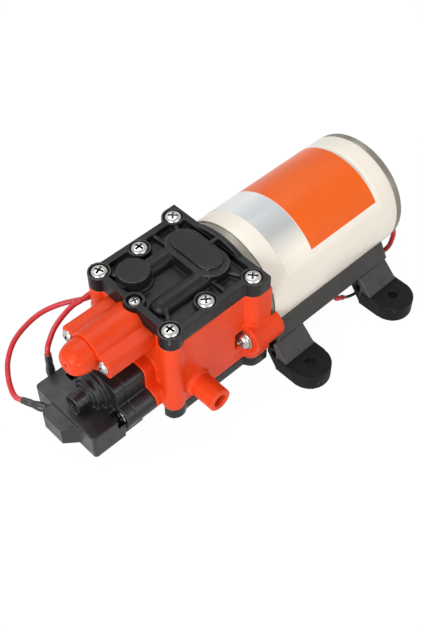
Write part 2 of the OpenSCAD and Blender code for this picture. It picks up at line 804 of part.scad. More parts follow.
module valve_plate(s) {
    color([0.3, 0.3, 0.32]) from_axis() mirror([0, 0, s > 0 ? 0 : 1]) difference() {
        union() {
            span([rebate_x0 + fit, -rebate_y + fit, rebate_floor + diaphragm_t],
                [rebate_x1 - fit, rebate_y - fit, house_top]);
            translate([valve_x, valve_y, house_top - fit]) cylinder(h = tower_top - house_top + fit, r = tower_r);
        }
        span([rebate_x0 + plate_rim, -rebate_y + plate_rim, rebate_floor],
            [rebate_x1 - plate_rim, rebate_y - plate_rim, plate_under]);
        translate([valve_x, valve_y, plate_under - cut]) cylinder(h = inlet_seat - plate_under + cut, r = valve_r + run_gap);
        for (y = [-valve_y, valve_y]) translate([valve_x, y, plate_under - cut])
            cylinder(h = tower_top - plate_under + 2 * cut, r = valve_port_r);
    }
}
module upper_valve_plate() valve_plate(1);
module lower_valve_plate() valve_plate(-1);

module diaphragm(s) {
    color(rubber_black) from_axis() mirror([0, 0, s > 0 ? 0 : 1]) difference() {
        span([rebate_x0 + fit, -rebate_y + fit, rebate_floor], [rebate_x1 - fit, rebate_y - fit, rebate_floor + diaphragm_t]);
        translate([yoke_x, 0, rebate_floor - cut]) cylinder(h = diaphragm_t + 2 * cut, r = piston_r + run_gap);
    }
}
module upper_diaphragm() diaphragm(1);
module lower_diaphragm() diaphragm(-1);

module valve_disc(s, y, z) {
    color(pale_rubber) from_axis() mirror([0, 0, s > 0 ? 0 : 1]) translate([valve_x, y, z]) {
        cylinder(h = valve_t, r = valve_r);
    }
}
module upper_inlet_valve() valve_disc(1, valve_y, inlet_seat - run_gap - valve_t);
module lower_inlet_valve() valve_disc(-1, valve_y, inlet_seat - run_gap - valve_t);
module upper_outlet_valve() valve_disc(1, -valve_y, house_top + run_gap);
module lower_outlet_valve() valve_disc(-1, -valve_y, house_top + run_gap);

module drive_yoke() {
    color(ivory) from_axis() {
        difference() {
            span([yoke_x - yoke_t / 2, -window_y - yoke_side, -window_z - yoke_bar],
                [yoke_x + yoke_t / 2, window_y + yoke_side, window_z + yoke_bar]);
            span([yoke_x - yoke_t / 2 - cut, -window_y, -window_z], [yoke_x + yoke_t / 2 + cut, window_y, window_z]);
        }
    }
}

module piston(s) {
    color(ivory) from_axis() mirror([0, 0, s > 0 ? 0 : 1]) {
        translate([yoke_x, 0, window_z + yoke_bar]) cylinder(h = rebate_floor - window_z - yoke_bar + fit, r = stem_r);
        translate([yoke_x, 0, rebate_floor]) cylinder(h = piston_t, r = piston_r);
    }
}
module upper_piston() piston(1);
module lower_piston() piston(-1);

module drive_eccentric() {
    color(steel) from_axis() difference() {
        along_x(yoke_x - bearing_w / 2 - 0.5, yoke_x + bearing_w / 2 + 0.5, bearing_bore / 2, 0, throw);
        along_x(yoke_x - bearing_w, yoke_x + bearing_w, shaft_d / 2 + fit);
    }
}

module drive_bearing() {
    color(steel) from_axis() translate([0, 0, throw])
        tube_x(yoke_x - bearing_w / 2, yoke_x + bearing_w / 2, bearing_od / 2, bearing_bore / 2 + fit);
}

// Ear block of the bypass on one side
module bypass_ear(s) {
    y = s * ear_screw_w / 2;
    span([bypass_front, min(0, y + s * ear_half), bypass_up - ear_low + ear_round],
        [head_front, max(0, y + s * ear_half), bypass_up + ear_high - ear_round]);
    span([bypass_front, min(0, y + s * (ear_half - ear_round)), bypass_up - ear_low],
        [head_front, max(0, y + s * (ear_half - ear_round)), bypass_up + ear_high]);
    for (z = [bypass_up - ear_low + ear_round, bypass_up + ear_high - ear_round])
        along_x(bypass_front, head_front, ear_round, y + s * (ear_half - ear_round), z);
}

module bypass_block() {
    color(orange_plastic) from_axis() difference() {
        union() {
            along_x(bypass_front, head_front, bypass_d / 2, 0, bypass_up);
            for (s = [-1, 1]) bypass_ear(s);
        }
        along_x(bypass_front - cut, head_front - bypass_floor, bypass_bore / 2, 0, bypass_up);
        translate([nose_screw.x, nose_screw.y, house_top - cut]) cylinder(h = cover_t + 2 * cut, r = nose_lug_r + run_gap);
        for (s = [-1, 1]) along_x(bypass_front - cut, head_front + cut, screw_d / 2 + screw_gap, s * ear_screw_w / 2, bypass_up);
    }
}

// Half outline of the domed cap, from its foot to its flat tip
function dome_outline() = [for (i = [0 : dome_steps]) let (a = 90 * i / dome_steps)
    [cap_tip_r + (cap_d / 2 - cap_tip_r) * cos(a), cap_straight + (cap_l - cap_straight) * sin(a)]];

module bypass_cap() {
    color(orange_plastic) from_axis() translate([0, 0, bypass_up]) difference() {
        union() {
            translate([bypass_front, 0, 0]) rotate([0, -90, 0]) rotate_extrude()
                polygon(concat([[0, 0], [cap_d / 2, 0]], dome_outline(), [[0, cap_l]]));
            along_x(bypass_front - cut, bypass_front + cap_spigot_l, bypass_bore / 2 - fit);
        }
        along_x(cap_front_x + bypass_adjuster_l, bypass_front + cap_spigot_l + cut, bypass_cavity_r);
        along_x(cap_front_x - cut, cap_front_x + bypass_adjuster_l + cut, bypass_adjuster_r + run_fit);
    }
}

module bypass_poppet() {
    color(ivory) from_axis() translate([0, 0, bypass_up]) difference() {
        along_x(poppet_x, poppet_x + poppet_l, bypass_bore / 2 - run_fit);
        along_x(poppet_x - cut, poppet_x + poppet_l - 2, bypass_bore / 2 - 1.5);
    }
}

module bypass_spring() {
    color(steel) from_axis() translate([0, 0, bypass_up])
        spring_x(cap_front_x + bypass_adjuster_l + run_gap, poppet_x + poppet_l - 2 - run_gap,
            bypass_spring_r, bypass_wire, bypass_turns);
}

// Set screw along X with a hex socket in its front face
module set_screw_x(x0, len, r, hex) {
    difference() {
        along_x(x0, x0 + len, r);
        translate([x0 - cut, 0, 0]) rotate([0, 90, 0]) cylinder(h = cut + len / 2, r = hex / sqrt(3), $fn = 6);
    }
}

module bypass_adjuster() {
    color(orange_plastic) from_axis() translate([0, 0, bypass_up])
        set_screw_x(cap_front_x + 0.2, bypass_adjuster_l - 0.2, bypass_adjuster_r, bypass_hex);
}

// Pan screw pointing along +X, seated at zero
module screw_x(d, len, hd, hh) {
    rotate([0, -90, 0]) pan_screw(d, len, hd, hh);
}

module bypass_screws() {
    color(steel) from_axis() for (s = [-1, 1]) translate([bypass_front, s * ear_screw_w / 2, bypass_up])
        screw_x(screw_d, bypass_screw_l, bypass_head_d, bypass_pan_h);
}

// Outer shape of the switch box with its front terminal nose
module box_cavity() {
    floor_z = box_top - box_h + box_wall;
    span([box_front + box_wall, box_y0 + box_wall, floor_z], [pocket_front, side_y - box_wall, box_top - box_wall]);
    span([pocket_front - cut, -pocket_y, floor_z], [box_rear - box_wall, pocket_y, box_top - box_tuck - box_wall]);
}

module switch_box() {
    low = box_top - box_h;
    difference() {
        union() {
            span([box_front, box_y0 + box_round, low], [case_front, side_y - box_round, box_top]);
            span([box_front + box_round, box_y0, low], [case_front, side_y, box_top]);
            span([case_front - cut, box_y0 + box_tuck, low], [box_rear, side_y - box_tuck, box_top - box_tuck]);
            for (y = [box_y0 + box_round, side_y - box_round]) translate([box_front + box_round, y, low])
                cylinder(h = box_h, r = box_round);
            translate([0, 0, box_top - nose_low - nose_h]) linear_extrude(nose_h) polygon([
                [box_front + cut, nose_y0], [box_front, nose_y0], [box_front - nose_l, nose_y0 + nose_chamfer],
                [box_front - nose_l, nose_y1 - 1.6], [box_front - nose_l + 1.6, nose_y1], [box_front + cut, nose_y1]]);
        }
        box_cavity();
    }
}

module case_cavity() {
    along_x(case_front + case_front_wall, base_front + cut, case_cavity_r, 0, switch_z);
}

module switch_rear_case() {
    color(black_plastic) from_axis() difference() {
        switch_outline(seam_x, base_front);
        case_cavity();
        span([seam_x - cut, box_y0 + box_tuck - fit, box_top - box_h - cut],
            [box_rear + fit, side_y - box_tuck + fit, box_top - box_tuck + fit]);
        for (s = [-1, 1]) along_x(seam_x - cut, base_front + cut, switch_screw_d / 2 + screw_gap, s * lobe_w / 2, lobe_z);
    }
}

// Pocket of a case screw, open to the top of the box on the near side
module screw_pocket(y) {
    along_x(case_front - lobe_scoop, case_front + lobe_sink, pocket_r, y, lobe_z);
    if (y < 0) span([case_front - lobe_scoop, y - pocket_r, lobe_z], [case_front, y + pocket_r, box_top + cut]);
}

module switch_front_case() {
    color(black_plastic) from_axis() difference() {
        union() {
            difference() {
                union() {
                    switch_outline(case_front, seam_x);
                    along_x(case_front - face_l, case_front + cut, face_r, 0, switch_z);
                    along_x(case_front - ring_l, case_front + cut, ring_r, 0, switch_z);
                    along_x(case_front - root_l, case_front + cut, root_r, 0, switch_z);
                    along_x(tube_front, case_front + cut, tube_d / 2, 0, switch_z);
                }
                box_cavity();
            }
            switch_box();
        }
        case_cavity();
        along_x(tube_front - cut, case_front + case_front_wall + cut, tube_bore_r, 0, switch_z);
        for (s = [-1, 1]) {
            along_x(case_front, box_rear + cut, switch_screw_d / 2 + screw_gap, s * lobe_w / 2, lobe_z);
            screw_pocket(s * lobe_w / 2);
        }
    }
}

module switch_diaphragm() {
    color(rubber_black) from_axis() along_x(base_front - membrane_t, base_front, membrane_r, 0, switch_z);
}

module switch_plunger() {
    color(ivory) from_axis() {
        along_x(plunger_front, base_front - membrane_t - run_gap, plunger_r, 0, switch_z);
        span([plunger_front, -arm_w / 2, arm_low], [plunger_front + 1.6, arm_w / 2, switch_z]);
    }
}

module switch_spring() {
    color(steel) from_axis() translate([0, 0, switch_z])
        spring_x(tube_front + adjuster_sink + adjuster_l + run_gap, plunger_front - run_gap,
            switch_spring_r, switch_wire, switch_turns);
}

module switch_adjuster() {
    color(black_plastic) from_axis() translate([0, 0, switch_z])
        set_screw_x(tube_front + adjuster_sink, adjuster_l, tube_bore_r - run_fit, adjuster_hex);
}

module microswitch() {
    z0 = box_top - box_h + box_wall;
    color([0.2, 0.2, 0.22]) from_axis() difference() {
        span([micro_rear - micro_l, -micro_w / 2, z0], [micro_rear, micro_w / 2, z0 + micro_h]);
        along_x(micro_rear - plunger_travel - 1.5, micro_rear + cut, button_r + run_fit, 0, button_z);
    }
}

module microswitch_button() {
    color([0.7, 0.2, 0.2]) from_axis()
        along_x(micro_rear - 1, plunger_front - run_gap, button_r, 0, button_z);
}

module terminal_tabs() {
    span([side_tab.x - tab_w / 2, side_y, side_tab.z - tab_drop],
        [side_tab.x + tab_w / 2, side_tab.y + tab_t / 2, side_tab.z - tab_drop + tab_w]);
    span([side_tab.x - tab_w / 2, side_tab.y - tab_t / 2, side_tab.z - tab_drop],
        [side_tab.x + tab_w / 2, side_tab.y + tab_t / 2, side_tab.z]);
    span([nose_tab.x - tab_w / 2, nose_y1, nose_tab.z - tab_w / 2],
        [nose_tab.x + tab_w / 2, nose_tab.y + tab_t, nose_tab.z + tab_w / 2]);
}

module switch_terminals() {
    color(brass) terminal_tabs();
}

module terminal_sleeves() {
    color(rubber_black) difference() {
        union() {
            rod(nose_tab + [0, tab_t, 0], nose_sleeve_end, shrink_d / 2);
            rod(side_tab - [0, 0, sleeve_grip], side_sleeve_top, shrink_d / 2);
        }
        terminal_tabs();
    }
}

module switch_screws() {
    color(steel) from_axis() for (s = [-1, 1]) translate([case_front + lobe_sink, s * lobe_w / 2, lobe_z])
        screw_x(switch_screw_d, switch_screw_l, switch_head_d, switch_pan_h);
}

module head_fixings() {
    color(steel) from_axis() for (s = [-1, 1]) translate([side_boss_x0, s * side_boss_y, side_boss_z]) {
        difference() {
            along_x(-washer_t, 0, washer_d / 2);
            along_x(-washer_t - cut, cut, side_screw_d / 2 + screw_gap);
        }
        translate([-washer_t, 0, 0]) screw_x(side_screw_d, side_screw_l, head_d, pan_h);
    }
}

module motor_can() {
    color(can_grey) from_axis() tube_x(head_rear + bell_t, cap_front, can_r, can_in_r);
}

module front_bell() {
    color(can_grey) from_axis() difference() {
        union() {
            along_x(head_rear, head_rear + bell_t, can_r);
            along_x(head_rear + cut, head_rear + bell_t + spigot_l, can_in_r - fit);
            along_x(head_rear + cut, head_rear + hub_l, hub_r);
            for (s = [-1, 1]) along_x(head_rear, head_rear + bell_t, motor_ear_r, s * side_boss_y, side_boss_z);
        }
        along_x(head_rear - cut, head_rear + hub_l + cut, bush_r + fit);
        for (s = [-1, 1])
            along_x(head_rear - cut, head_rear + bell_t + spigot_l + cut, side_screw_d / 2 + screw_gap,
                s * side_boss_y, side_boss_z);
    }
}

module rear_cap() {
    color(can_grey) from_axis() difference() {
        union() {
            along_x(cap_front, cap_rear - rim_roll, can_r + rim_roll / 2);
            along_x(cap_rear - rim_roll - fit, cap_rear, can_r - rim_roll);
            along_x(cap_rear - fit, cap_rear + rear_hub_l, rear_hub_r);
            along_x(cap_front - 3, cap_front + fit, hub_r);
        }
        along_x(cap_front - 3 - cut, cap_rear, bush_r + fit);
        for (p = [switch_lead_exit, black_lead_exit])
            along_x(cap_front - cut, cap_rear + cut, grommet_r + fit, p[0], p[1]);
    }
}

module motor_sleeve() {
    color(ivory) from_axis() tube_x(0, sleeve_l, sleeve_r, sleeve_in_r);
}

module motor_label() {
    color(silver_film) from_axis() translate([label_x0, 0, 0]) rotate([0, 90, 0])
        rotate([0, 0, 180 - label_high + 90]) rotate_extrude(angle = label_high - label_low)
            translate([sleeve_r + fit / 2, 0]) square([label_t, label_x1 - label_x0]);
}

module magnets() {
    color([0.25, 0.25, 0.26]) from_axis() for (a = [0, 180]) translate([magnet_x0, 0, 0]) rotate([0, 90, 0])
        rotate([0, 0, a - magnet_angle / 2]) rotate_extrude(angle = magnet_angle)
            translate([can_in_r - fit - magnet_t, 0]) square([magnet_t, magnet_x1 - magnet_x0]);
}

module rotor_shaft() {
    color(steel) from_axis() along_x(yoke_x - bearing_w / 2 - 1, cap_rear - 1, shaft_d / 2);
}

// Winding window of one rotor slot
module slot_space(a, x0, x1, r_in, r_out) {
    rotate([a, 0, 0]) span([x0, -slot_w * 1.6, r_in], [x1, slot_w * 1.6, r_out]);
}

module rotor_core() {
    color([0.45, 0.45, 0.46]) from_axis() difference() {
        along_x(core_x0, core_x1, rotor_d / 2);
        along_x(core_x0 - cut, core_x1 + cut, shaft_d / 2 + fit);
        for (i = [0 : slot_count - 1]) {
            slot_space(i * 360 / slot_count, core_x0 - cut, core_x1 + cut, tooth_neck_r, slot_r);
            rotate([i * 360 / slot_count, 0, 0])
                span([core_x0 - cut, -slot_w / 2, tooth_neck_r], [core_x1 + cut, slot_w / 2, rotor_d]);
        }
    }
}

module rotor_windings() {
    color(copper) from_axis() {
        for (i = [0 : slot_count - 1])
            slot_space(i * 360 / slot_count, core_x0 - winding_l / 2, core_x1 + winding_l / 2,
                tooth_neck_r + fit, winding_bar_r);
        for (x = [core_x0 - winding_l, core_x1]) difference() {
            along_x(x, x + winding_l, winding_r);
            along_x(x - cut, x + winding_l + cut, shaft_d / 2 + fit);
        }
    }
}

module commutator() {
    color(copper) from_axis() difference() {
        along_x(comm_x0, comm_x0 + comm_l, comm_r);
        along_x(comm_x0 - cut, comm_x0 + comm_l + cut, shaft_d / 2 + fit);
    }
}

module brush_holder() {
    color([0.35, 0.25, 0.18]) from_axis() difference() {
        union() {
            along_x(holder_x, holder_x + holder_t, can_in_r - fit);
            for (s = [-1, 1]) span([comm_x0, min(s * (comm_r + 2), s * (comm_r + 2 + brush_l)), -brush_w / 2 - 1.2],
                [holder_x + fit, max(s * (comm_r + 2), s * (comm_r + 2 + brush_l)), brush_w / 2 + 1.2]);
        }
        along_x(holder_x - cut, holder_x + holder_t + cut, hub_r + run_gap);
        for (s = [-1, 1]) span([comm_x0 + 1, min(s * comm_r, s * can_r), -brush_w / 2 - fit],
            [comm_x0 + 1 + brush_w + 2 * fit, max(s * comm_r, s * can_r), brush_w / 2 + fit]);
    }
}

module brushes() {
    color([0.15, 0.14, 0.14]) from_axis() for (s = [-1, 1]) difference() {
        span([comm_x0 + 1 + fit, min(s * (comm_r - 1), s * (comm_r + brush_l)), -brush_w / 2],
            [comm_x0 + 1 + fit + brush_w, max(s * (comm_r - 1), s * (comm_r + brush_l)), brush_w / 2]);
        along_x(comm_x0 - cut, comm_x0 + comm_l + cut, comm_r + run_fit);
    }
}

module shaft_bushes() {
    color(brass) from_axis() {
        tube_x(head_rear + fit, head_rear + bush_l, bush_r, shaft_d / 2 + run_fit);
        tube_x(cap_front - rear_bush_in, cap_rear - fit, bush_r, shaft_d / 2 + run_fit);
    }
}

module lead_grommets() {
    color(rubber_black) from_axis() for (p = [switch_lead_exit, black_lead_exit])
        along_x(cap_front + 2, lead_exit_x - sleeve_front, grommet_r, p[0], p[1]);
}

// Leg of the bracket that runs down into a foot, on the far side, at the middle of a foot hole
module leg(x) {
    translate([x + leg_w / 2, 0, 0]) rotate([90, 0, -90]) linear_extrude(leg_w) polygon([
        [-rail_in.x, rail_in.y], [-leg_top.x, leg_top.y], [-leg_foot_y, pad_top], [-leg_foot_y, tongue_z - tongue_t],
        [-leg_root_y, tongue_z - tongue_t], [-leg_root_y, rail_in.y - leg_root_drop]]);
    difference() {
        span([x - leg_w / 2 + tongue_side, leg_root_y, tongue_z - tongue_t],
            [x + leg_w / 2 - tongue_side, foot_dy / 2 + tongue_end, tongue_z]);
        translate([x, foot_dy / 2, ground]) cylinder(h = axis_height, r = foot_hole_d / 2 + tongue_hole_gap);
    }
}

// Foot hole stations along the motor
foot_front = -sleeve_front - foot_dx / 2;
foot_rear = -sleeve_front + foot_dx / 2;

module legs() {
    for (s = [0, 1]) mirror([0, s, 0]) for (x = [foot_front, foot_rear]) leg(x);
}

module bracket() {
    color(bracket_grey) from_axis() {
        difference() {
            union() {
                intersection() {
                    along_x(rail_front, bracket_l, sleeve_r + bracket_wall);
                    span([rail_front, -can_d, -can_d], [bracket_l, can_d, saddle_top]);
                }
                for (s = [0, 1]) mirror([0, s, 0]) translate([bracket_l, 0, 0]) rotate([90, 0, -90])
                    linear_extrude(bracket_l - rail_front) polygon([[-rail_top.x, rail_top.y], [-rail_low.x, rail_low.y],
                        [-rail_in.x, rail_in.y], [-rail_root, rail_in.y], [-rail_root, rail_top.y]]);
            }
            along_x(rail_front - cut, bracket_l + cut, sleeve_r + fit);
        }
        legs();
    }
}

module foot(x, s) {
    color(rubber_black) from_axis() mirror([0, s > 0 ? 0 : 1, 0]) difference() {
        union() {
            translate([x, foot_dy / 2, ground]) cylinder(h = foot_t, r = foot_r);
            span([x - foot_r, foot_in_low, ground], [x + foot_r, foot_dy / 2, pad_top]);
            translate([x + leg_w / 2, 0, 0]) rotate([90, 0, -90]) linear_extrude(leg_w) polygon([
                [-foot_in_low, ground], [-foot_in_y, foot_in_z], [-foot_in_y, rail_in.y - 2],
                [-rail_low.x, rail_in.y - 2], [-leg_foot_y, pad_top], [-leg_foot_y, ground]]);
        }
        leg(x);
        translate([x, foot_dy / 2, ground - cut]) cylinder(h = foot_t + 2 * cut, r = foot_hole_d / 2);
        along_x(x - foot_r - cut, x - leg_w / 2 + foot_cross_l, foot_cross_r, foot_cross[0], foot_cross[1]);
    }
}
module foot_front_right() foot(foot_front, -1);
module foot_front_left() foot(foot_front, 1);
module foot_rear_right() foot(foot_rear, -1);
module foot_rear_left() foot(foot_rear, 1);

module switch_lead() {
    color(lead_red) swept(smooth_route(switch_route, 2), lead_d / 2, 8);
}

module supply_lead() {
    color(lead_red) swept(smooth_route(supply_route, 2), lead_d / 2, 8);
}

module black_lead() {
    color(rubber_black) swept(smooth_route(black_route, 2), black_lead_d / 2, 8);
}

module lead_crimps() {
    supply_end = supply_route[len(supply_route) - 1];
    black_end = black_route[len(black_route) - 1];
    color(lead_red) {
        rod(black_end + crimp_gap * unit(crimp_tip - black_end), crimp_tip, crimp_d / 2);
        rod(supply_end + [crimp_gap, 0, 0], supply_end + [supply_crimp_l, 0, 0], crimp_d / 2);
    }
}

upper_cover();
lower_cover();
pump_housing();
upper_valve_plate();
lower_valve_plate();
upper_diaphragm();
lower_diaphragm();
upper_inlet_valve();
upper_outlet_valve();
lower_inlet_valve();
lower_outlet_valve();
drive_yoke();
upper_piston();
lower_piston();
drive_eccentric();
drive_bearing();
upper_cover_screws();
lower_cover_screws();
bypass_block();
bypass_cap();
bypass_poppet();
bypass_spring();
bypass_adjuster();
bypass_screws();
switch_rear_case();
switch_front_case();
switch_diaphragm();
switch_plunger();
switch_spring();
switch_adjuster();
microswitch();
microswitch_button();
switch_terminals();
terminal_sleeves();
switch_screws();
head_fixings();
motor_can();
front_bell();
rear_cap();
motor_sleeve();
motor_label();
magnets();
rotor_shaft();
rotor_core();
rotor_windings();
commutator();
brush_holder();
brushes();
shaft_bushes();
lead_grommets();
bracket();
foot_front_right();
foot_front_left();
foot_rear_right();
foot_rear_left();
switch_lead();
supply_lead();
black_lead();
lead_crimps();
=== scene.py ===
# %% [markdown]
# # A small caravan water pump
# The pump sends fresh water to a tap. A motor in an ivory sleeve drives an orange head with two dark
# covers, and a bypass valve and a pressure switch sit on the front of the head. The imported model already
# holds every solid and every joint, so it is the fixed frame of this lesson. Each piece below is in
# metres in that frame, rides on one of its bodies, and either gives a solid a better surface or stands in
# its place.

# %% Load the frame
import json
import math
import bmesh
import bpy
import numpy as np
from mathutils import Matrix, Vector


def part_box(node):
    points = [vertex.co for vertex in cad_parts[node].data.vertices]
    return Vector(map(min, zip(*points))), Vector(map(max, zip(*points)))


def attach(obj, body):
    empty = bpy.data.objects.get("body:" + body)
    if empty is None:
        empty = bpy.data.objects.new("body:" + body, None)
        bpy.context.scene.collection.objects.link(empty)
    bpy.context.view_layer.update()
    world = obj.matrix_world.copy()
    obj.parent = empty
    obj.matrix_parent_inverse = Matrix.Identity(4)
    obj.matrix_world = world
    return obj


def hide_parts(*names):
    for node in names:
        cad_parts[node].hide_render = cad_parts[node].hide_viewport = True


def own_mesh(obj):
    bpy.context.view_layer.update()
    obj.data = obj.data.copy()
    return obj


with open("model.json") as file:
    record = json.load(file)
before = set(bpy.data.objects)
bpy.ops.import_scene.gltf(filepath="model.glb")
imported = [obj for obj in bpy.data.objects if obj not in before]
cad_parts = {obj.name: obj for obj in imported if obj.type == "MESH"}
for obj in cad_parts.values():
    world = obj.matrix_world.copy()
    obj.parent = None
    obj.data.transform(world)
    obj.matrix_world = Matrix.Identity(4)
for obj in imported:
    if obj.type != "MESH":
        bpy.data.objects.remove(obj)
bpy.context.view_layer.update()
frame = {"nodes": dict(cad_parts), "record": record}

MM = 0.001
nodes = frame["nodes"]
slot_of = {s["node"]: s["material_slot"] for s in frame["record"]["subparts"]}
body_of = {n: b for b, names in frame["record"]["behaviour"]["bodies"].items() for n in names}
scene = bpy.context.scene

# %% [markdown]
# ## Motor frame
# The sleeve and the label are round, so they are easiest to place from the motor's axis. Its height and
# radius could be typed in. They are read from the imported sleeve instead, so that they always agree with
# it. Zero is the front edge of the sleeve, and X runs back along the motor.

# %% Motor frame
sleeve_lo, sleeve_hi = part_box("motor_sleeve")
SLEEVE_X = sleeve_lo.x / MM
AXIS_Z = (sleeve_lo.z + sleeve_hi.z) / 2 / MM
SLEEVE_R = (sleeve_hi.z - sleeve_lo.z) / 2 / MM
SLEEVE_L = (sleeve_hi.x - sleeve_lo.x) / MM


def at(x, y, z):
    """A place given from the motor axis in millimetres, as a point of the frame."""
    return Vector(((x + SLEEVE_X) * MM, y * MM, (z + AXIS_Z) * MM))


print("sleeve", round(SLEEVE_R, 2), "x", round(SLEEVE_L, 2), "mm")

# %% [markdown]
# ## Camera
# The photograph looks down on the pump from ahead and from one side. A camera can be moved by hand until
# the outlines agree. Here a pinhole camera was fitted to measured points instead, because that gives the
# lens too. The angles, the target and the distance below are the result.

# %% Camera
azimuth, elevation, roll = math.radians(-43.08), math.radians(49.92), math.radians(-0.67)
target, distance = Vector((-0.04321, 0, 0.01558)), 0.41596
ahead = Vector((math.sin(azimuth), -math.cos(azimuth), 0))
back = ahead * math.cos(elevation) + Vector((0, 0, math.sin(elevation)))
side = Vector((math.cos(azimuth), math.sin(azimuth), 0))
over = back.cross(side)
right = math.cos(roll) * side + math.sin(roll) * over
up = -math.sin(roll) * side + math.cos(roll) * over
camera_data = bpy.data.cameras.new("camera")
camera_data.lens = 57.7
camera_data.sensor_width = 36
camera_data.clip_start = 0.01
camera = bpy.data.objects.new("camera", camera_data)
scene.collection.objects.link(camera)
turned_to = Matrix((right, up, back)).transposed().to_4x4()
camera.matrix_world = Matrix.Translation(target + back * distance) @ turned_to
scene.camera = camera
print("camera at", [round(v, 3) for v in camera.matrix_world.translation])

# %% [markdown]
# ## Materials
# Close up, plastic, rubber and metal all show the same few things: a broad drift of colour, patches of
# more and less gloss, a fine grain, and a different tone where an edge has been handled; here that edge
# tone is also a painted highlight, and the sunk parts of metal get painted shade. A painted picture could
# hold these, but it would fit one mesh only. A small node tree on object coordinates fits every piece,
# so each finish is one of those.

# %% Node helpers


def start_material(name):
    mat = bpy.data.materials.new(name)
    mat.use_nodes = True
    tree = mat.node_tree
    return mat, tree, tree.nodes["Principled BSDF"]


def noise(tree, scale, detail=3.0, stretch=None):
    """Noise on object coordinates; scale counts features to a metre."""
    coord = tree.nodes.new("ShaderNodeTexCoord").outputs["Object"]
    if stretch:
        mapping = tree.nodes.new("ShaderNodeMapping")
        mapping.inputs["Scale"].default_value = stretch
        tree.links.new(coord, mapping.inputs["Vector"])
        coord = mapping.outputs["Vector"]
    tex = tree.nodes.new("ShaderNodeTexNoise")
    tex.inputs["Scale"].default_value = scale
    tex.inputs["Detail"].default_value = detail
    tree.links.new(coord, tex.inputs["Vector"])
    return tex.outputs["Fac"]


def spread(tree, value, low, high, to_low=0.0, to_high=1.0):
    """Maps a value from one range to another, kept inside it."""
    node = tree.nodes.new("ShaderNodeMapRange")
    tree.links.new(value, node.inputs["Value"])
    for socket, number in zip(("From Min", "From Max", "To Min", "To Max"), (low, high, to_low, to_high)):
        node.inputs[socket].default_value = number
    return node.outputs["Result"]


def maths(tree, kind, a, b):
    node = tree.nodes.new("ShaderNodeMath")
    node.operation = kind
    for socket, value in zip(node.inputs, (a, b)):
        if isinstance(value, (int, float)):
            socket.default_value = value
        else:
            tree.links.new(value, socket)
    return node.outputs["Value"]


def blend_colour(tree, fac, a, b):
    node = tree.nodes.new("ShaderNodeMix")
    node.data_type = "RGBA"
    tree.links.new(fac, node.inputs["Factor"])
    for socket, value in ((node.inputs[6], a), (node.inputs[7], b)):
        if isinstance(value, tuple):
            socket.default_value = (*value, 1)
        else:
            tree.links.new(value, socket)
    return node.outputs[2]


def add_bump(tree, bsdf, heights):
    """Chains bumps of (height, strength, distance in metres)."""
    last = None
    for height, strength, distance in heights:
        node = tree.nodes.new("ShaderNodeBump")
        node.inputs["Strength"].default_value = strength
        node.inputs["Distance"].default_value = distance
        tree.links.new(height, node.inputs["Height"])
        if last:
            tree.links.new(last, node.inputs["Normal"])
        last = node.outputs["Normal"]
    tree.links.new(last, bsdf.inputs["Normal"])


# %% [markdown]
# Moulded plastic and rubber have one even colour that drifts a little, a faint grain from the mould, and
# another, paler tone on the edges: partly wear from hands and tools, partly a painted highlight where a
# rounded edge would catch the light. Those edges could be painted by hand. Pointiness finds them on any
# mesh, so one function serves every moulding.

# %% Moulded finish


def moulding(name, colour, shade, worn_and_lit_edge, gloss, grain, specular=0.5):
    """Colour drift, range of gloss, grain (features to a metre, strength) and edges paler from wear and a
    painted highlight.
    """
    mat, tree, bsdf = start_material(name)
    drift = spread(tree, noise(tree, 70), 0.35, 0.65)
    base = blend_colour(tree, drift, colour, shade)
    edge = tree.nodes.new("ShaderNodeNewGeometry").outputs["Pointiness"]
    patchy = spread(tree, noise(tree, 420), 0.35, 0.6, 0.25, 1)
    # Convex edges take a paler tone: partly wear, partly a painted highlight.
    rubbed_and_lit_edge = maths(tree, "MULTIPLY", spread(tree, edge, 0.515, 0.57), patchy)
    tree.links.new(blend_colour(tree, rubbed_and_lit_edge, base, worn_and_lit_edge), bsdf.inputs["Base Color"])
    tree.links.new(spread(tree, noise(tree, 240), 0.3, 0.7, *gloss), bsdf.inputs["Roughness"])
    bsdf.inputs["Specular IOR Level"].default_value = specular
    add_bump(tree, bsdf, [(noise(tree, 160, 2), 0.12, 0.0002), (noise(tree, grain[0], 4), grain[1], 0.00004)])
    return mat


# %% [markdown]
# Metal keeps the fine lines of drawing or turning, and its recesses are painted dark as shade. An
# anisotropic shader could give the sheen but not the lines. Noise that is stretched along one axis gives
# both, and a value on the faces of the mesh says which of them are sunk, so that they get the painted shade.

# %% Metal finish


def metal(name, colour, shade, gloss, stretch, grain):
    """Bare or plated metal with a fine drawn grain."""
    mat, tree, bsdf = start_material(name)
    drift = spread(tree, noise(tree, 130), 0.35, 0.65)
    clean = blend_colour(tree, drift, colour, shade)
    sunk_faces = tree.nodes.new("ShaderNodeAttribute")
    sunk_faces.attribute_name = "recess"
    # Sunk faces, such as a screw's cross, are painted near black: painted shade in the recess.
    painted_recess_shade = maths(tree, "MULTIPLY", sunk_faces.outputs["Fac"], spread(tree, noise(tree, 900), 0.3, 0.7, 0.8, 1))
    tree.links.new(blend_colour(tree, painted_recess_shade, clean, (0.035, 0.032, 0.029)), bsdf.inputs["Base Color"])
    bsdf.inputs["Metallic"].default_value = 1.0
    lines = noise(tree, 1500, 3, stretch)
    tree.links.new(spread(tree, lines, 0.3, 0.7, *gloss), bsdf.inputs["Roughness"])
    add_bump(tree, bsdf, [(lines, grain, 0.00002)])
    return mat


# %% [markdown]
# Each leg of the bracket has a fine dark line down its middle, as the joint of a mould leaves it. It
# could be a groove in the mesh, but remeshing would wash out a form so small. It is drawn by its place on
# the bracket instead.

# %% Mould lines


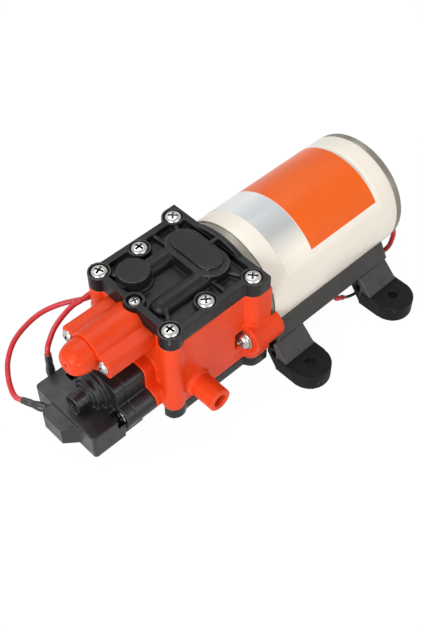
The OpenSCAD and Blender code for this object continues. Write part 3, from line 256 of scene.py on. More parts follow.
def mould_lines(mat, centre, half_width, reach):
    """Lines at plus and minus centre along X, beyond reach in Y."""
    tree = mat.node_tree
    colour = tree.nodes["Principled BSDF"].inputs["Base Color"]
    split = tree.nodes.new("ShaderNodeSeparateXYZ")
    tree.links.new(tree.nodes.new("ShaderNodeTexCoord").outputs["Object"], split.inputs["Vector"])
    off = maths(tree, "SUBTRACT", maths(tree, "ABSOLUTE", split.outputs["X"], 0), centre)
    line = spread(tree, maths(tree, "ABSOLUTE", off, 0), half_width, 0.5 * half_width)
    leg = spread(tree, maths(tree, "ABSOLUTE", split.outputs["Y"], 0), reach, reach + 0.0003)
    base = colour.links[0].from_socket
    lined = blend_colour(tree, maths(tree, "MULTIPLY", line, leg), base, (0.004, 0.004, 0.004))
    tree.links.new(lined, colour)


# %% [markdown]
# The head is satin orange plastic, its covers and the switch are black, the bracket is duller and the
# feet are rubber. They all come from the same recipe, so a table of rows is clearer than many trees. A
# row of a moulding holds its colour, its shade (a second tone that it drifts to at random), the paler
# tone of an edge (wear together with a painted highlight), the range of roughness, the grain (features
# to a metre and strength) and how strongly it mirrors. A row of a metal holds two tones, the range of
# roughness, the stretch of its drawn grain and the strength of that grain.

# %% Finishes of the record's slots
mouldings = {
    "orange_plastic": [(0.76, 0.054, 0.007), (0.69, 0.046, 0.0055), (0.86, 0.1, 0.03),
                       (0.34, 0.48), (2600, 0.1), 0.2],
    "black_plastic": [(0.009, 0.009, 0.01), (0.014, 0.014, 0.015), (0.06, 0.06, 0.062),
                      (0.28, 0.44), (2400, 0.2), 0.38],
    # The covers' edge tone is paler than the slot's own: a stronger painted highlight on their rims.
    "cover_plastic": [(0.009, 0.009, 0.01), (0.014, 0.014, 0.015), (0.15, 0.15, 0.154),
                      (0.28, 0.44), (2400, 0.2), 0.18],
    "bracket_plastic": [(0.022, 0.0205, 0.019), (0.032, 0.0295, 0.027), (0.09, 0.085, 0.08),
                        (0.42, 0.6), (2000, 0.3), 0.45],
    "foot_rubber": [(0.0045, 0.0044, 0.0043), (0.0075, 0.0073, 0.007), (0.035, 0.034, 0.033),
                    (0.5, 0.7), (1800, 0.3), 0.12],
    "soft_rubber": [(0.03, 0.03, 0.032), (0.05, 0.05, 0.052), (0.09, 0.09, 0.09),
                    (0.6, 0.8), (1500, 0.25), 0.4],
    "inner_plastic": [(0.72, 0.68, 0.6), (0.64, 0.6, 0.52), (0.8, 0.77, 0.7), (0.4, 0.55), (1800, 0.15)],
    "ivory_sleeve": [(0.85, 0.785, 0.685), (0.83, 0.765, 0.66), (0.88, 0.83, 0.74),
                     (0.28, 0.4), (700, 0.06), 0.4],
    "red_lead": [(0.56, 0.012, 0.022), (0.47, 0.009, 0.016), (0.62, 0.05, 0.06), (0.28, 0.42), (1500, 0.1)],
    "black_lead": [(0.012, 0.012, 0.013), (0.02, 0.02, 0.021), (0.05, 0.05, 0.05), (0.25, 0.42), (1100, 0.2)],
    "ferrite": [(0.05, 0.05, 0.052), (0.035, 0.035, 0.036), (0.1, 0.1, 0.1), (0.5, 0.7), (1500, 0.3)],
}
metals = {
    "stainless": [(0.52, 0.505, 0.48), (0.4, 0.39, 0.37), (0.2, 0.34), (1, 1, 6), 0.06],
    "can_steel": [(0.25, 0.235, 0.195), (0.2, 0.187, 0.155), (0.36, 0.52), (8, 1, 1), 0.12],
    "core_steel": [(0.3, 0.3, 0.31), (0.22, 0.22, 0.23), (0.4, 0.55), (9, 1, 1), 0.25],
    "copper": [(0.7, 0.34, 0.17), (0.55, 0.25, 0.12), (0.25, 0.4), (1, 6, 6), 0.2],
    "brass": [(0.78, 0.6, 0.27), (0.66, 0.5, 0.22), (0.25, 0.42), (1, 4, 1), 0.12],
}
finish = {name: moulding(name, *row) for name, row in mouldings.items()}
finish.update({name: metal(name, *row) for name, row in metals.items()})
mould_lines(finish["bracket_plastic"], centre=0.026, half_width=0.0003, reach=0.0302)
print("finishes", len(finish))

# %% [markdown]
# The label is a printed film with a silver band and a plain orange field. Round the motor the band's
# colour runs from cream through grey to pale silver: silver print with a painted reflection. Each colour
# could be a patch of mesh. It is drawn on the film's own UV instead, where U runs along the motor and V
# runs round it, because a border in the material stays sharp on a coarse mesh.

# %% Label finish


def label_finish():
    mat, tree, bsdf = start_material("label_film")
    uv = tree.nodes.new("ShaderNodeUVMap")
    uv.uv_map = "film"
    split = tree.nodes.new("ShaderNodeSeparateXYZ")
    tree.links.new(uv.outputs["UV"], split.inputs["Vector"])
    u, v = split.outputs["X"], split.outputs["Y"]

    def window(value, low, high, soft):
        rise, fall = spread(tree, value, low, low + soft), spread(tree, value, high, high - soft)
        return maths(tree, "MULTIPLY", rise, fall)

    field_front, field_rear, rim_rear = 0.267, 0.945, 0.962
    field_low, field_high, band_rear = 0.058, 0.942, 0.262
    along, around = window(u, field_front, field_rear, 0.003), window(v, field_low, field_high, 0.002)
    field = maths(tree, "MULTIPLY", along, around)
    front_band, rear_rim = spread(tree, u, field_front, band_rear), window(u, field_rear, rim_rear, 0.003)
    band = maths(tree, "MAXIMUM", front_band, rear_rim)
    # Along V the silver runs cream, grey, grey and pale: a painted reflection of the lights on the silver
    # print.
    painted_reflection = tree.nodes.new("ShaderNodeValToRGB")
    tones = [(0.12, (0.9, 0.84, 0.72)), (0.3, (0.47, 0.475, 0.47)),
             (0.5, (0.5, 0.52, 0.53)), (0.66, (0.78, 0.79, 0.78))]
    for place, _ in tones[2:]:
        painted_reflection.color_ramp.elements.new(place)
    for stop, (place, tone) in zip(painted_reflection.color_ramp.elements, tones):
        stop.position, stop.color = place, (*tone, 1)
    tree.links.new(v, painted_reflection.inputs["Fac"])
    silver_print_and_reflection = blend_colour(tree, band, (0.88, 0.815, 0.71), painted_reflection.outputs["Color"])
    shine = maths(tree, "MULTIPLY", band, spread(tree, v, 0.15, 0.3))
    tone = spread(tree, noise(tree, 90), 0.3, 0.7)
    orange = blend_colour(tree, tone, (0.82, 0.118, 0.004), (0.78, 0.106, 0.0035))
    tree.links.new(blend_colour(tree, field, silver_print_and_reflection, orange), bsdf.inputs["Base Color"])
    tree.links.new(maths(tree, "MULTIPLY", shine, 0.15), bsdf.inputs["Metallic"])
    tree.links.new(spread(tree, noise(tree, 45, 1), 0.1, 0.9, 0.27, 0.37), bsdf.inputs["Roughness"])
    bsdf.inputs["Specular IOR Level"].default_value = 0.3
    add_bump(tree, bsdf, [(noise(tree, 60, 0), 0.08, 0.0003)])
    return mat


finish["label_film"] = label_finish()
print("label finish", len(finish["label_film"].node_tree.nodes), "shader nodes")

# %% [markdown]
# ## Helpers for pieces
# Every piece ends with the same steps: it gets a finish, rides on a body and stands for some solids. One
# helper does them all, so that no piece can miss one. The others link a mesh to the scene and turn a
# built one into an object.

# %% Piece helpers


def link(name, mesh):
    obj = bpy.data.objects.new(name, mesh)
    scene.collection.objects.link(obj)
    return obj


def dress(obj, *replaced, slot=None, look=None):
    """Gives a piece its finish, puts it on the body of the solids it stands for, and hides those."""
    slot = slot or slot_of[replaced[0]]
    obj.data.materials.clear()
    obj.data.materials.append(finish[look or slot])
    if obj.type == "MESH":
        obj.data.polygons.foreach_set("use_smooth", np.ones(len(obj.data.polygons), bool))
    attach(obj, body_of[replaced[0]])
    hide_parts(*replaced)
    return obj


def from_bmesh(name, bm, outward=True):
    if outward:
        bmesh.ops.recalc_face_normals(bm, faces=bm.faces)
    mesh = bpy.data.meshes.new(name)
    bm.to_mesh(mesh)
    bm.free()
    return link(name, mesh)


# %% [markdown]
# ## Leads
# Three insulated leads join the motor, the switch and the supply. A lead could be a swept mesh. A curve
# with a round bevel keeps its route, length and thickness as plain numbers, so it is the better choice.
# The routes repeat those of the part's source, in millimetres. The head and the motor hide most of each
# lead, so the hidden runs are guesses.

# %% Routes of the leads
switch_route = [(46.1, -12, 28.9), (47.4, -12, 28.9), (49, -13.2, 27.4), (49.5, -15.8, 24.4),
                (49, -18.5, 21), (47.5, -21.5, 16.5), (46.5, -22, 12.5), (45.5, -21.5, 8.5),
                (44, -19.5, 5.2), (43, -15, 4), (42, -9, 3), (41.5, 0, 1.5), (40.5, 9, 1.2),
                (38, 16, 1.2), (33, 21, 1.2), (26, 22.6, 1.2), (18, 22.6, 1.2), (8, 22.6, 1.2),
                (-4, 22.6, 1.2), (-16, 22.6, 1.2), (-28, 22.8, 1.3), (-37, 24, 2), (-45.5, 28.6, 7.4),
                (-53.5, 29.5, 14.5), (-60.5, 29.5, 21.5), (-67, 29, 28.5), (-75, 28.5, 33),
                (-82.5, 29, 34), (-86.5, 31.5, 33.5), (-92, 35.5, 32), (-99, 38.5, 30),
                (-106.5, 39.2, 27.4), (-113.5, 37.8, 25), (-119.5, 34, 22.4), (-123.3, 29.3, 20),
                (-125.4, 25, 17.8), (-126, 21.6, 16.6), (-125.04, 19.1, 16.4)]
supply_route = [(-108.5, 21.8, 28.1), (-108.4, 21.85, 29.5), (-107.4, 22.5, 31.1), (-105, 24, 32.2),
                (-101.5, 26.2, 32.8), (-96.5, 27.8, 34), (-90.5, 28.2, 36), (-86.5, 27, 37.5),
                (-82.5, 26.2, 39), (-75.5, 25.8, 40), (-68, 25.8, 38.5), (-61.5, 27, 33.5),
                (-56.5, 29.4, 26), (-51.5, 32, 18), (-46.5, 31.6, 11), (-41, 29.4, 5.2),
                (-36, 26.7, 2.2), (-29, 25.7, 1.4), (-21, 25.6, 1.4), (-12, 25.6, 1.4)]
black_route = [(46.1, -5, 17.9), (47.3, -5, 17.9), (48.6, -5.9, 16.3), (49, -7.2, 13.3), (48.5, -9, 9),
               (46.5, -11.5, 4), (43.5, -15, 1.2), (39, -19.5, 1), (34, -23, 1), (29, -25.2, 1),
               (23.5, -26, 1), (18.5, -25.6, 1), (15.1, -25.1, 1.7), (12.5, -25, 3.35)]
RED_D, BLACK_D = 2.2, 1.4
print("route points", len(switch_route), len(supply_route), len(black_route))

# %% Smooth route


def smooth_route(points, steps):
    """Points on a smooth curve through a route."""
    p = [Vector(q) for q in points]
    out = []
    for i in range(len(p) - 1):
        a, b, c, d = p[max(i - 1, 0)], p[i], p[i + 1], p[min(i + 2, len(p) - 1)]
        for k in range(steps):
            t = k / steps
            bend, twist = 2 * a - 5 * b + 4 * c - d, 3 * b - a - 3 * c + d
            out.append(0.5 * (2 * b + (c - a) * t + bend * t * t + twist * t ** 3))
    return out + [p[-1]]


# %% [markdown]
# The two supply leads end in a crimp, a short red tube that is squeezed in the middle. It could be a
# scaled cylinder. A tube of rings with a radius at each step can show the squeeze too, and the shrink
# sleeves need the same helper.

# %% Crimped ends


def sheath(name, a, b, radii, slot, node, sides=28):
    """A sleeve between two places, in millimetres, with a radius at each step along it."""
    a, b = Vector(a), Vector(b)
    way = (b - a).normalized()
    u = way.orthogonal().normalized()
    w = way.cross(u)
    bm = bmesh.new()
    rings = []
    for i, r in enumerate(radii):
        centre = a + (b - a) * i / (len(radii) - 1)
        rings.append([bm.verts.new((centre + r * (math.cos(t) * u + math.sin(t) * w)) * MM)
                      for t in [2 * math.pi * k / sides for k in range(sides)]])
    for one, two in zip(rings, rings[1:]):
        for k in range(sides):
            bm.faces.new((one[k], one[(k + 1) % sides], two[(k + 1) % sides], two[k]))
    bm.faces.new(rings[0])
    bm.faces.new(rings[-1])
    return dress(from_bmesh(name, bm), node, slot=slot)


crimp_profile = [0.9, 1.15, 1.2, 1.2, 1.08, 1.02, 1.08, 1.2, 1.2, 1.15, 0.95]
black_crimp = sheath("black_lead_crimp", (12.42, -25, 3.4), (6.8, -25, 7), crimp_profile,
                     "red_lead", "lead_crimps")
supply_crimp = sheath("supply_lead_crimp", (-11.9, 25.6, 1.4), (-4, 25.6, 1.4), crimp_profile,
                      "red_lead", "lead_crimps")
print("crimps", len(crimp_profile), "rings each, squeezed to", 2 * min(crimp_profile[1:-1]), "mm")

# %% Leads


def lead(name, node, route, diameter):
    points = [q * MM for q in smooth_route(route, 6)]
    curve = bpy.data.curves.new(name, "CURVE")
    curve.dimensions = "3D"
    curve.bevel_depth = diameter / 2 * MM
    curve.bevel_resolution = 5
    curve.use_fill_caps = True
    spline = curve.splines.new("POLY")
    spline.points.add(len(points) - 1)
    for point, place in zip(spline.points, points):
        point.co = (*place, 1)
    spline.use_smooth = True
    obj = dress(link(name, curve), node)
    return obj


lead("motor_to_switch_lead", "switch_lead", switch_route, RED_D)
lead("supply_lead_red", "supply_lead", supply_route, RED_D)
lead("supply_lead_black", "black_lead", black_route, BLACK_D)

# %% [markdown]
# Shrink sleeves cover the switch's two terminals. Each one swells where the terminal sits and pinches
# before the lead. They could be sculpted, but a tube of rings with a radius at each step gives that shape
# from one short list.

# %% Shrink sleeves
swell = [1.45, 1.62, 1.72, 1.84, 1.9, 1.88, 1.8, 1.72, 1.62, 1.5, 1.46, 1.5, 1.54, 1.5, 1.44, 1.4, 1.38, 1.36]
wide_mouth = [1.75, 1.8] + swell[2:]
sheath("nose_terminal_sleeve", (-120.7, 9.05, 16.4), (-125, 19, 16.4), wide_mouth,
       "black_lead", "terminal_sleeves")
sheath("side_terminal_sleeve", (-109, 21.6, 14.6), (-108.5, 21.8, 28), swell,
       "black_lead", "terminal_sleeves")
print("shrink sleeves", len(swell), "rings each, widest", max(swell), "mm")

# %% [markdown]
# ## Moulded bodies
# A moulded edge is always a little round, and most edges of the exact solids are sharp. A Bevel modifier
# would be the first thing to try, but it breaks where many small cuts meet. So a merged copy of each
# moulded solid is remeshed finely and smoothed, which rounds every edge as a mould does, and is then
# thinned where it is flat. A row below holds the voxel in millimetres, the rounds of smoothing, the share
# of the faces kept and, for the covers, a black that mirrors less than the slot's own.

# %% Mesh helpers


def bake(obj):
    """Applies the modifiers and leaves a plain mesh."""
    bpy.context.view_layer.update()
    mesh = bpy.data.meshes.new_from_object(obj.evaluated_get(bpy.context.evaluated_depsgraph_get()))
    obj.modifiers.clear()
    old, obj.data = obj.data, mesh
    bpy.data.meshes.remove(old)
    return obj


def merged(node):
    """A node's loose triangles with their shared corners joined."""
    bm = bmesh.new()
    bm.from_mesh(nodes[node].data)
    bmesh.ops.remove_doubles(bm, verts=bm.verts, dist=1e-6)
    return bm


# %% Moulded bodies


def moulded(node, voxel, rounds, keep, look=None):
    obj = from_bmesh("moulded_" + node, merged(node), outward=False)
    soften = obj.modifiers.new("soften", "REMESH")
    soften.mode = "VOXEL"
    soften.voxel_size = voxel * MM
    ease = obj.modifiers.new("ease", "SMOOTH")
    ease.factor = 0.5
    ease.iterations = rounds
    thin = obj.modifiers.new("thin", "DECIMATE")
    thin.ratio = keep
    bake(obj)
    print(obj.name, len(obj.data.polygons), "faces")
    return dress(obj, node, look=look)


feet = [(f"foot_{end}_{side}", 0.3, 4, 0.5) for end in ("front", "rear") for side in ("right", "left")]
for node, voxel, rounds, keep, *look in [
        ("upper_cover", 0.3, 2, 0.35, "cover_plastic"), ("lower_cover", 0.4, 3, 0.3, "cover_plastic"),
        ("pump_housing", 0.38, 3, 0.35), ("bypass_block", 0.25, 5, 0.6), ("bypass_cap", 0.25, 4, 0.5),
        ("bypass_adjuster", 0.12, 2, 0.6), ("switch_rear_case", 0.34, 3, 0.35),
        ("switch_front_case", 0.26, 4, 0.5), ("switch_adjuster", 0.15, 2, 0.6), ("rear_cap", 0.35, 3, 0.4),
        ("lead_grommets", 0.15, 3, 0.6), ("bracket", 0.45, 3, 0.4), *feet]:
    moulded(node, voxel, rounds, keep, *look)

# %% [markdown]
# ## Motor sleeve
# The motor wears a thin plastic sleeve with rolled ends. It could start from a primitive cylinder, but
# the wall and the rolled lip would still have to be added. A profile that is turned round the motor's
# axis gives both at once.

# %% Sleeve


def turned(name, profile, node, sides=160):
    """Turns a closed profile of (x, radius) from the motor axis, in millimetres."""
    bm = bmesh.new()
    rings = [[bm.verts.new(at(x, r * math.cos(t), r * math.sin(t))) for x, r in profile]
             for t in [2 * math.pi * k / sides for k in range(sides)]]
    for one, two in zip(rings, rings[1:] + rings[:1]):
        for k in range(len(profile)):
            j = (k + 1) % len(profile)
            bm.faces.new((one[k], one[j], two[j], two[k]))
    return dress(from_bmesh(name, bm), node)


WALL, ROLL, LIP_CLEAR = 0.5, 0.28, 4
outer, inner = SLEEVE_R, SLEEVE_R - WALL
roll_angles = [math.radians(a) for a in (0, 30, 60, 90)]
lip = [(ROLL - ROLL * math.cos(a), outer - ROLL + ROLL * math.sin(a)) for a in roll_angles]
steps = [(x, outer) for x in np.linspace(LIP_CLEAR, SLEEVE_L - LIP_CLEAR, 16)]
rear_lip = [(SLEEVE_L - x, r) for x, r in reversed(lip)]
sleeve = turned("motor_sleeve_film", lip + steps + rear_lip + [(SLEEVE_L, inner), (0, inner)], "motor_sleeve")
print(sleeve.name, len(sleeve.data.polygons), "faces")

# %% [markdown]
# The label is a thin film that wraps part of the way round the sleeve. A copy of some of the sleeve's
# faces could be lifted off it. It is built from its own places along and round the motor instead, because
# each corner then gets its UV as it is made. The film has a real thickness, so it stays a closed mesh.

# %% Label


def film(name, node, x0, x1, low, high, r0, r1, across=14, around=48):
    """A closed film from x0 to x1 along the motor, low to high degrees round it, between two radii."""
    bm = bmesh.new()
    uv = bm.loops.layers.uv.new("film")
    place = {}

    def vert(i, j, r):
        key = (i, j, r)
        if key not in place:
            a = math.radians(low + (high - low) * j / around)
            place[key] = bm.verts.new(at(x0 + (x1 - x0) * i / across, -r * math.cos(a), r * math.sin(a)))
        return place[key], (i / across, j / around)

    def face(*corners):
        made = bm.faces.new([c[0] for c in corners])
        for loop, corner in zip(made.loops, corners):
            loop[uv].uv = corner[1]

    for i in range(across):
        for j in range(around):
            for r in (r0, r1):
                face(vert(i, j, r), vert(i + 1, j, r), vert(i + 1, j + 1, r), vert(i, j + 1, r))
        for j in (0, around):
            face(vert(i, j, r0), vert(i + 1, j, r0), vert(i + 1, j, r1), vert(i, j, r1))
    for j in range(around):
        for i in (0, across):
            face(vert(i, j, r0), vert(i, j + 1, r0), vert(i, j + 1, r1), vert(i, j, r1))
    obj = dress(from_bmesh(name, bm), node)
    obj.data.set_sharp_from_angle(angle=math.radians(40))
    return obj


LABEL_X, LABEL_ANGLE = (8.7, 66), (27, 153)
FILM_UNDER, FILM_TOP = SLEEVE_R + 0.02, SLEEVE_R + 0.15
label = film("label_film", "motor_label", *LABEL_X, *LABEL_ANGLE, FILM_UNDER, FILM_TOP)
print(label.name, len(label.data.polygons), "faces")

# %% [markdown]
# ## Screws
# Crossed pan-head screws hold the covers, the bypass valve, the switch and the head. Copying one by hand
# to every place is slow and easy to get wrong. So one screw is turned and cut for each size, and a node
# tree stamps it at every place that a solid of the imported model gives, with its own turn. The stamps
# become one plain mesh for each set.

# %% Screw blank


def screw_profile(head_r, head_h, shank_r, shank_l, washer_r, washer_t):
    """Outline as (radius, height) along Z, in millimetres, with the head seated at zero."""
    crown = [(0, 1), (0.32, 0.985), (0.55, 0.92), (0.75, 0.78), (0.9, 0.55), (0.98, 0.28),
             (1, 0.1), (0.96, 0)]
    profile = [(r * head_r, z * head_h) for r, z in crown]
    if washer_r:
        profile += [(washer_r - 0.15, 0), (washer_r, -0.15), (washer_r, -washer_t), (shank_r, -washer_t)]
    else:
        profile += [(shank_r, -0.05)]
    return profile + [(shank_r, 0.6 - shank_l), (shank_r - 0.6, -shank_l), (0, -shank_l)]


def screw_blank(profile, sides=36):
    bm = bmesh.new()
    rings = [[bm.verts.new((r * math.cos(t) * MM, r * math.sin(t) * MM, z * MM)) for r, z in profile]
             for t in [2 * math.pi * k / sides for k in range(sides)]]
    for one, two in zip(rings, rings[1:] + rings[:1]):
        for k in range(len(profile) - 1):
            bm.faces.new((one[k], one[k + 1], two[k + 1], two[k]))
    bmesh.ops.remove_doubles(bm, verts=bm.verts, dist=1e-7)
    return from_bmesh("screw_prototype", bm)


# %% Cross cutter


def cross_cutter(head_r, head_h):
    """Two tapered blades across each other, each as (height, half length, half width) at its top and foot."""
    bm = bmesh.new()
    for turn in (0, 90):
        corners = []
        for z, length, width in ((head_h + 0.1, 0.62, 0.13), (0.25 * head_h, 0.3, 0.07)):
            for x, y in ((-1, -1), (1, -1), (1, 1), (-1, 1)):
                spot = Vector((x * length * head_r, y * width * head_r, z)) * MM
                corners.append(bm.verts.new(Matrix.Rotation(math.radians(turn), 3, "Z") @ spot))
        bm.faces.new(corners[:4])
        bm.faces.new(corners[4:])
        for k in range(4):
            j = (k + 1) % 4
            bm.faces.new((corners[k], corners[j], corners[4 + j], corners[4 + k]))
    return from_bmesh("cross_cutter", bm)


# %% Screw prototype


def mark_recess(screw, head_r, dome):
    """Marks the faces that lie below the dome, so that the finish can paint shade on them."""
    sunk = []
    for face in screw.data.polygons:
        reach, height = math.hypot(*face.center[:2]), face.center.z
        below = height / MM < np.interp(reach / MM, *dome) - 0.12
        sunk.append(float(reach < 0.66 * head_r * MM and height > 0 and below))
    screw.data.attributes.new("recess", "FLOAT", "FACE")
    screw.data.attributes["recess"].data.foreach_set("value", sunk)


def screw_prototype(head_r, head_h, shank_r, shank_l, washer_r=0.0, washer_t=0.0):
    profile = screw_profile(head_r, head_h, shank_r, shank_l, washer_r, washer_t)
    screw = screw_blank(profile)
    cross = cross_cutter(head_r, head_h)
    cut = screw.modifiers.new("cross", "BOOLEAN")
    cut.operation = "DIFFERENCE"
    cut.solver = "EXACT"
    cut.use_self = True
    cut.object = cross
    soft = screw.modifiers.new("soft", "BEVEL")
    soft.width = 0.045 * MM
    soft.segments = 2
    soft.use_clamp_overlap = False
    soft.limit_method = "ANGLE"
    soft.angle_limit = math.radians(38)
    bake(screw)
    bpy.data.objects.remove(cross)
    mark_recess(screw, head_r, dome=np.array(profile[:6]).T)
    return screw


# %% Start and end of a node tree


def start_tree(name, inputs):
    """A geometry tree with named inputs of the given kinds, and those inputs' sockets."""
    tree = bpy.data.node_groups.new(name, "GeometryNodeTree")
    for title, kind in inputs.items():
        tree.interface.new_socket(title, in_out="INPUT", socket_type="NodeSocket" + kind)
    tree.interface.new_socket("Geometry", in_out="OUTPUT", socket_type="NodeSocketGeometry")
    return tree, tree.nodes.new("NodeGroupInput").outputs


def end_tree(tree, shape, look):
    """Turns instances into real geometry and gives it its finish."""
    add, wire = tree.nodes.new, tree.links.new
    real, paint, outside = [add(kind) for kind in (
        "GeometryNodeRealizeInstances", "GeometryNodeSetMaterial", "NodeGroupOutput")]
    wire(shape, real.inputs["Geometry"])
    wire(real.outputs["Geometry"], paint.inputs["Geometry"])
    wire(look, paint.inputs["Material"])
    wire(paint.outputs["Geometry"], outside.inputs["Geometry"])
    return tree


# %% Stamp tree


def stamp_tree():
    """Instances of an object on points, turned and sized by the points' own attributes."""
    tree, inside = start_tree("stamp", {"Geometry": "Geometry", "Prototype": "Object", "Finish": "Material"})
    add, wire = tree.nodes.new, tree.links.new
    info, stamp = add("GeometryNodeObjectInfo"), add("GeometryNodeInstanceOnPoints")
    turn, size = add("GeometryNodeInputNamedAttribute"), add("GeometryNodeInputNamedAttribute")
    turn.data_type, size.data_type = "FLOAT_VECTOR", "FLOAT"
    turn.inputs["Name"].default_value, size.inputs["Name"].default_value = "turn", "size"
    wire(inside["Geometry"], stamp.inputs["Points"])
    wire(inside["Prototype"], info.inputs["Object"])
    wire(info.outputs["Geometry"], stamp.inputs["Instance"])
    wire(turn.outputs["Attribute"], stamp.inputs["Rotation"])
    wire(size.outputs["Attribute"], stamp.inputs["Scale"])
    return end_tree(tree, stamp.outputs["Instances"], inside["Finish"])


STAMP = stamp_tree()
print("stamp tree", len(STAMP.nodes), "nodes")

# %% Stamping


def set_inputs(mod, values):
    """Finds each named input of a modifier's tree and sets it by its identifier."""
    for item in mod.node_group.interface.items_tree:
        if item.in_out == "INPUT" and item.name in values:
            mod[item.identifier] = values[item.name]


def stamp(name, prototype, places, facing, slot, *replaced, seed=1):
    """places are (point in metres, size); facing is the direction of every prototype's top."""
    rng = np.random.default_rng(seed)
    mesh = bpy.data.meshes.new(name)
    mesh.from_pydata([p for p, _ in places], [], [])
    tilt = Vector(facing).to_track_quat("Z", "Y").to_matrix()
    spins = [Matrix.Rotation(rng.uniform(0, math.pi / 2), 3, "Z") for _ in places]
    turns = [v for spin in spins for v in (tilt @ spin).to_euler()]
    mesh.attributes.new("turn", "FLOAT_VECTOR", "POINT")
    mesh.attributes["turn"].data.foreach_set("vector", turns)
    mesh.attributes.new("size", "FLOAT", "POINT")
    mesh.attributes["size"].data.foreach_set("value", [size for _, size in places])
    obj = link(name, mesh)
    mod = obj.modifiers.new("stamp", "NODES")
    mod.node_group = STAMP
    set_inputs(mod, {"Prototype": prototype, "Finish": finish[slot]})
    bake(obj)
    bpy.data.objects.remove(prototype)
    dress(obj, *replaced, slot=slot)
    obj.data.set_sharp_from_angle(angle=math.radians(35))
    print(name, len(places), "stamped,", len(obj.data.polygons), "faces")
    return obj


# %% Solids of a node


def solids(node):
    """Lowest and highest corner of each separate solid of a node."""
    bm = merged(node)
    left, found = set(bm.verts), []
    while left:
        todo, part = [left.pop()], []
        while todo:
            vert = todo.pop()
            part.append(vert.co[:])
            for edge in vert.link_edges:
                other = edge.other_vert(vert)
                if other in left:
                    left.remove(other)
                    todo.append(other)
        found.append((np.min(part, 0), np.max(part, 0)))
    bm.free()
    return sorted(found, key=lambda b: (round(b[0][0], 4), round(b[0][1], 4)))


# %% Screw sets


def screw_set(name, node, axis, sign, head_h, shank_r, washer=(0.0, 0.0), seed=1, head_r=None):
    """Stamps the screws of one node; axis and sign say where their heads face."""
    across = [k for k in range(3) if k != axis]
    found = solids(node)
    reach = max(hi[across[0]] - lo[across[0]] for lo, hi in found) / 2 / MM
    head_r = head_r or 1.03 * reach
    length = max(hi[axis] - lo[axis] for lo, hi in found) / MM - head_h
    places = []
    for lo, hi in found:
        spot = (lo + hi) / 2
        size = (hi[across[0]] - lo[across[0]]) / 2 / MM / reach
        spot[axis] = hi[axis] - head_h * size * MM if sign > 0 else lo[axis] + head_h * size * MM
        places.append((spot, size))
    facing = [0, 0, 0]
    facing[axis] = sign
    prototype = screw_prototype(head_r, head_h, shank_r, length, *washer)
    stamp(name, prototype, places, facing, "stainless", node, seed=seed)


screw_set("cover_screws_top", "upper_cover_screws", axis=2, sign=1, head_h=2.2, shank_r=1.7, seed=3)
screw_set("cover_screws_under", "lower_cover_screws", axis=2, sign=-1, head_h=2.2, shank_r=1.7, seed=4)
screw_set("bypass_screw_pair", "bypass_screws", axis=0, sign=-1, head_h=1.6, shank_r=1.5, seed=5)
screw_set("switch_screw_pair", "switch_screws", axis=0, sign=-1, head_h=1.6, shank_r=1.5, seed=6)
screw_set("head_screw_pair", "head_fixings", axis=0, sign=-1, head_h=2.2, shank_r=2.0,
          washer=(4.3, 1.0), seed=7, head_r=3.5)

# %% [markdown]
# ## Springs
# A coil of round wire closes the bypass valve, and another one holds the switch back. A Screw modifier
# could wind them too, but a node tree takes turns, radius and wire as plain inputs. Each spring rides on
# the body of its solid and keeps its length as its joint opens.

# %% Coil tree


def coil_tree():
    """A spiral of round wire that runs along X from a given place."""
    tree, inside = start_tree("coil", {
        "Geometry": "Geometry", "Turns": "Float", "Radius": "Float", "Length": "Float",
        "Wire Radius": "Float", "Place": "Vector", "Finish": "Material"})
    add, wire = tree.nodes.new, tree.links.new
    spiral, rod = add("GeometryNodeCurveSpiral"), add("GeometryNodeCurvePrimitiveCircle")
    body, lay = add("GeometryNodeCurveToMesh"), add("GeometryNodeTransform")
    spiral.inputs["Resolution"].default_value = 32
    rod.inputs["Resolution"].default_value = 12
    body.inputs["Fill Caps"].default_value = True
    lay.inputs["Rotation"].default_value = (0, math.pi / 2, 0)
    wire(inside["Turns"], spiral.inputs["Rotations"])
    wire(inside["Radius"], spiral.inputs["Start Radius"])
    wire(inside["Radius"], spiral.inputs["End Radius"])
    wire(inside["Length"], spiral.inputs["Height"])
    wire(inside["Wire Radius"], rod.inputs["Radius"])
    wire(spiral.outputs["Curve"], body.inputs["Curve"])
    wire(rod.outputs["Curve"], body.inputs["Profile Curve"])
    wire(body.outputs["Mesh"], lay.inputs["Geometry"])
    wire(inside["Place"], lay.inputs["Translation"])
    return end_tree(tree, lay.outputs["Geometry"], inside["Finish"])


COIL = coil_tree()
print("coil tree", len(COIL.nodes), "nodes")


def spring(name, node, turns, wire_r):
    """Winds a spring into the room of its solid; wire_r is in millimetres."""
    lo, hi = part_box(node)
    wire_r *= MM
    obj = link(name, bpy.data.meshes.new(name))
    mod = obj.modifiers.new("coil", "NODES")
    mod.node_group = COIL
    set_inputs(mod, {"Turns": float(turns), "Radius": (hi.y - lo.y) / 2 - wire_r,
                     "Length": hi.x - lo.x - 2 * wire_r, "Wire Radius": wire_r,
                     "Place": (lo.x + wire_r, 0.0, (lo.z + hi.z) / 2), "Finish": finish[slot_of[node]]})
    dress(bake(obj), node)
    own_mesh(obj)


spring("bypass_coil", "bypass_spring", turns=6, wire_r=0.4)
spring("switch_coil", "switch_spring", turns=7, wire_r=0.35)

# %% [markdown]
# ## Solids that stay
# The motor's core, the valves and the drive sit inside. The motor's can, its front bell and the switch's
# terminals show only in part. Remeshing all these would cost faces and gain little, so they keep their
# exact solids and get the finish of their slot.

# %% Finish the solids that stay
for name, obj in nodes.items():
    if not obj.hide_render:
        obj.data.materials.clear()
        obj.data.materials.append(finish[slot_of[name]])
print("solids kept", sum(not o.hide_render for o in nodes.values()))

# %% [markdown]
# ## Stage
# The pump stands on a plain pale floor with a faint shadow. A white ground could be had from more light,
# but that would bleach the pump too. So the floor and the world look white only to the rays that see
# them, from the camera or by way of a mirror or a clear piece, and stay plain for the rays that bring
# light.

# %% Rays that see the ground


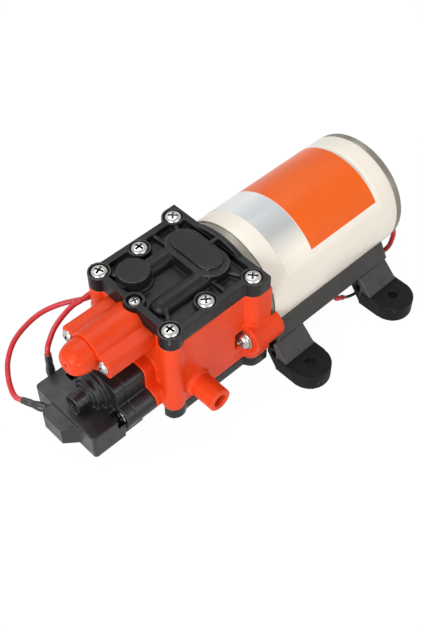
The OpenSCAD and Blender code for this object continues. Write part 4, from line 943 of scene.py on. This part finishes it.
def seen_rays(tree):
    """One for a ray from the camera, a mirror or a clear piece, and zero for one that brings light."""
    path = tree.nodes.new("ShaderNodeLightPath").outputs
    mirrored = maths(tree, "MAXIMUM", path["Is Glossy Ray"], path["Is Transmission Ray"])
    return maths(tree, "MAXIMUM", path["Is Camera Ray"], mirrored)


# %% Floor
FLOOR_REACH, FLOOR_Z = 4, -0.0003
FLOOR_GLOW, FLOOR_SHARE = 1.02, 0.95
floor_mesh = bpy.data.meshes.new("floor")
corners = [(x * FLOOR_REACH, y * FLOOR_REACH, FLOOR_Z) for x, y in ((-1, -1), (1, -1), (1, 1), (-1, 1))]
floor_mesh.from_pydata(corners, [], [(0, 1, 2, 3)])
floor = link("floor", floor_mesh)
floor_mat, tree, bsdf = start_material("pale_floor")
bsdf.inputs["Base Color"].default_value = (0.86, 0.86, 0.86, 1)
bsdf.inputs["Roughness"].default_value = 0.9
glow = tree.nodes.new("ShaderNodeEmission")
glow.inputs["Strength"].default_value = FLOOR_GLOW
mix = tree.nodes.new("ShaderNodeMixShader")
tree.links.new(maths(tree, "MULTIPLY", seen_rays(tree), FLOOR_SHARE), mix.inputs[0])
tree.links.new(bsdf.outputs["BSDF"], mix.inputs[1])
tree.links.new(glow.outputs["Emission"], mix.inputs[2])
tree.links.new(mix.outputs["Shader"], tree.nodes["Material Output"].inputs["Surface"])
floor_mesh.materials.append(floor_mat)
print("floor", 2 * FLOOR_REACH, "m square")

# %% [markdown]
# The photograph's shadows are soft, so wide area lights are used and no sun: a key ahead of the pump, a
# fill on the near side and a cooler one above. The world adds an even light from all round. Together they
# stay at a plain level, at which a colour renders about as it is written.

# %% Light
EVEN_LIGHT = 0.32
world = bpy.data.worlds.new("studio")
world.use_nodes = True
tree = world.node_tree
sky = tree.nodes["Background"].inputs
sky["Color"].default_value = (1, 1, 1, 1)
tree.links.new(spread(tree, seen_rays(tree), 0, 1, EVEN_LIGHT, 1), sky["Strength"])
scene.world = world


def softbox(name, place, size, power, tint=(1, 1, 1), aim=(-0.03, 0, 0.03)):
    data = bpy.data.lights.new(name, "AREA")
    data.color = tint
    data.shape = "RECTANGLE"
    data.size, data.size_y = size
    data.energy = power
    lamp = bpy.data.objects.new(name, data)
    scene.collection.objects.link(lamp)
    way = Vector(aim) - Vector(place)
    lamp.matrix_world = Matrix.Translation(place) @ way.to_track_quat("-Z", "Y").to_matrix().to_4x4()


softbox("key", place=(-1.0, -0.25, 0.5), size=(0.6, 0.6), power=9)
softbox("fill", place=(0.1, -0.95, 0.55), size=(0.8, 0.6), power=3.4)
softbox("top", place=(0.1, 0.4, 1.05), size=(0.9, 0.6), power=5.8, tint=(0.94, 0.975, 1))
scene.view_settings.view_transform = "Standard"
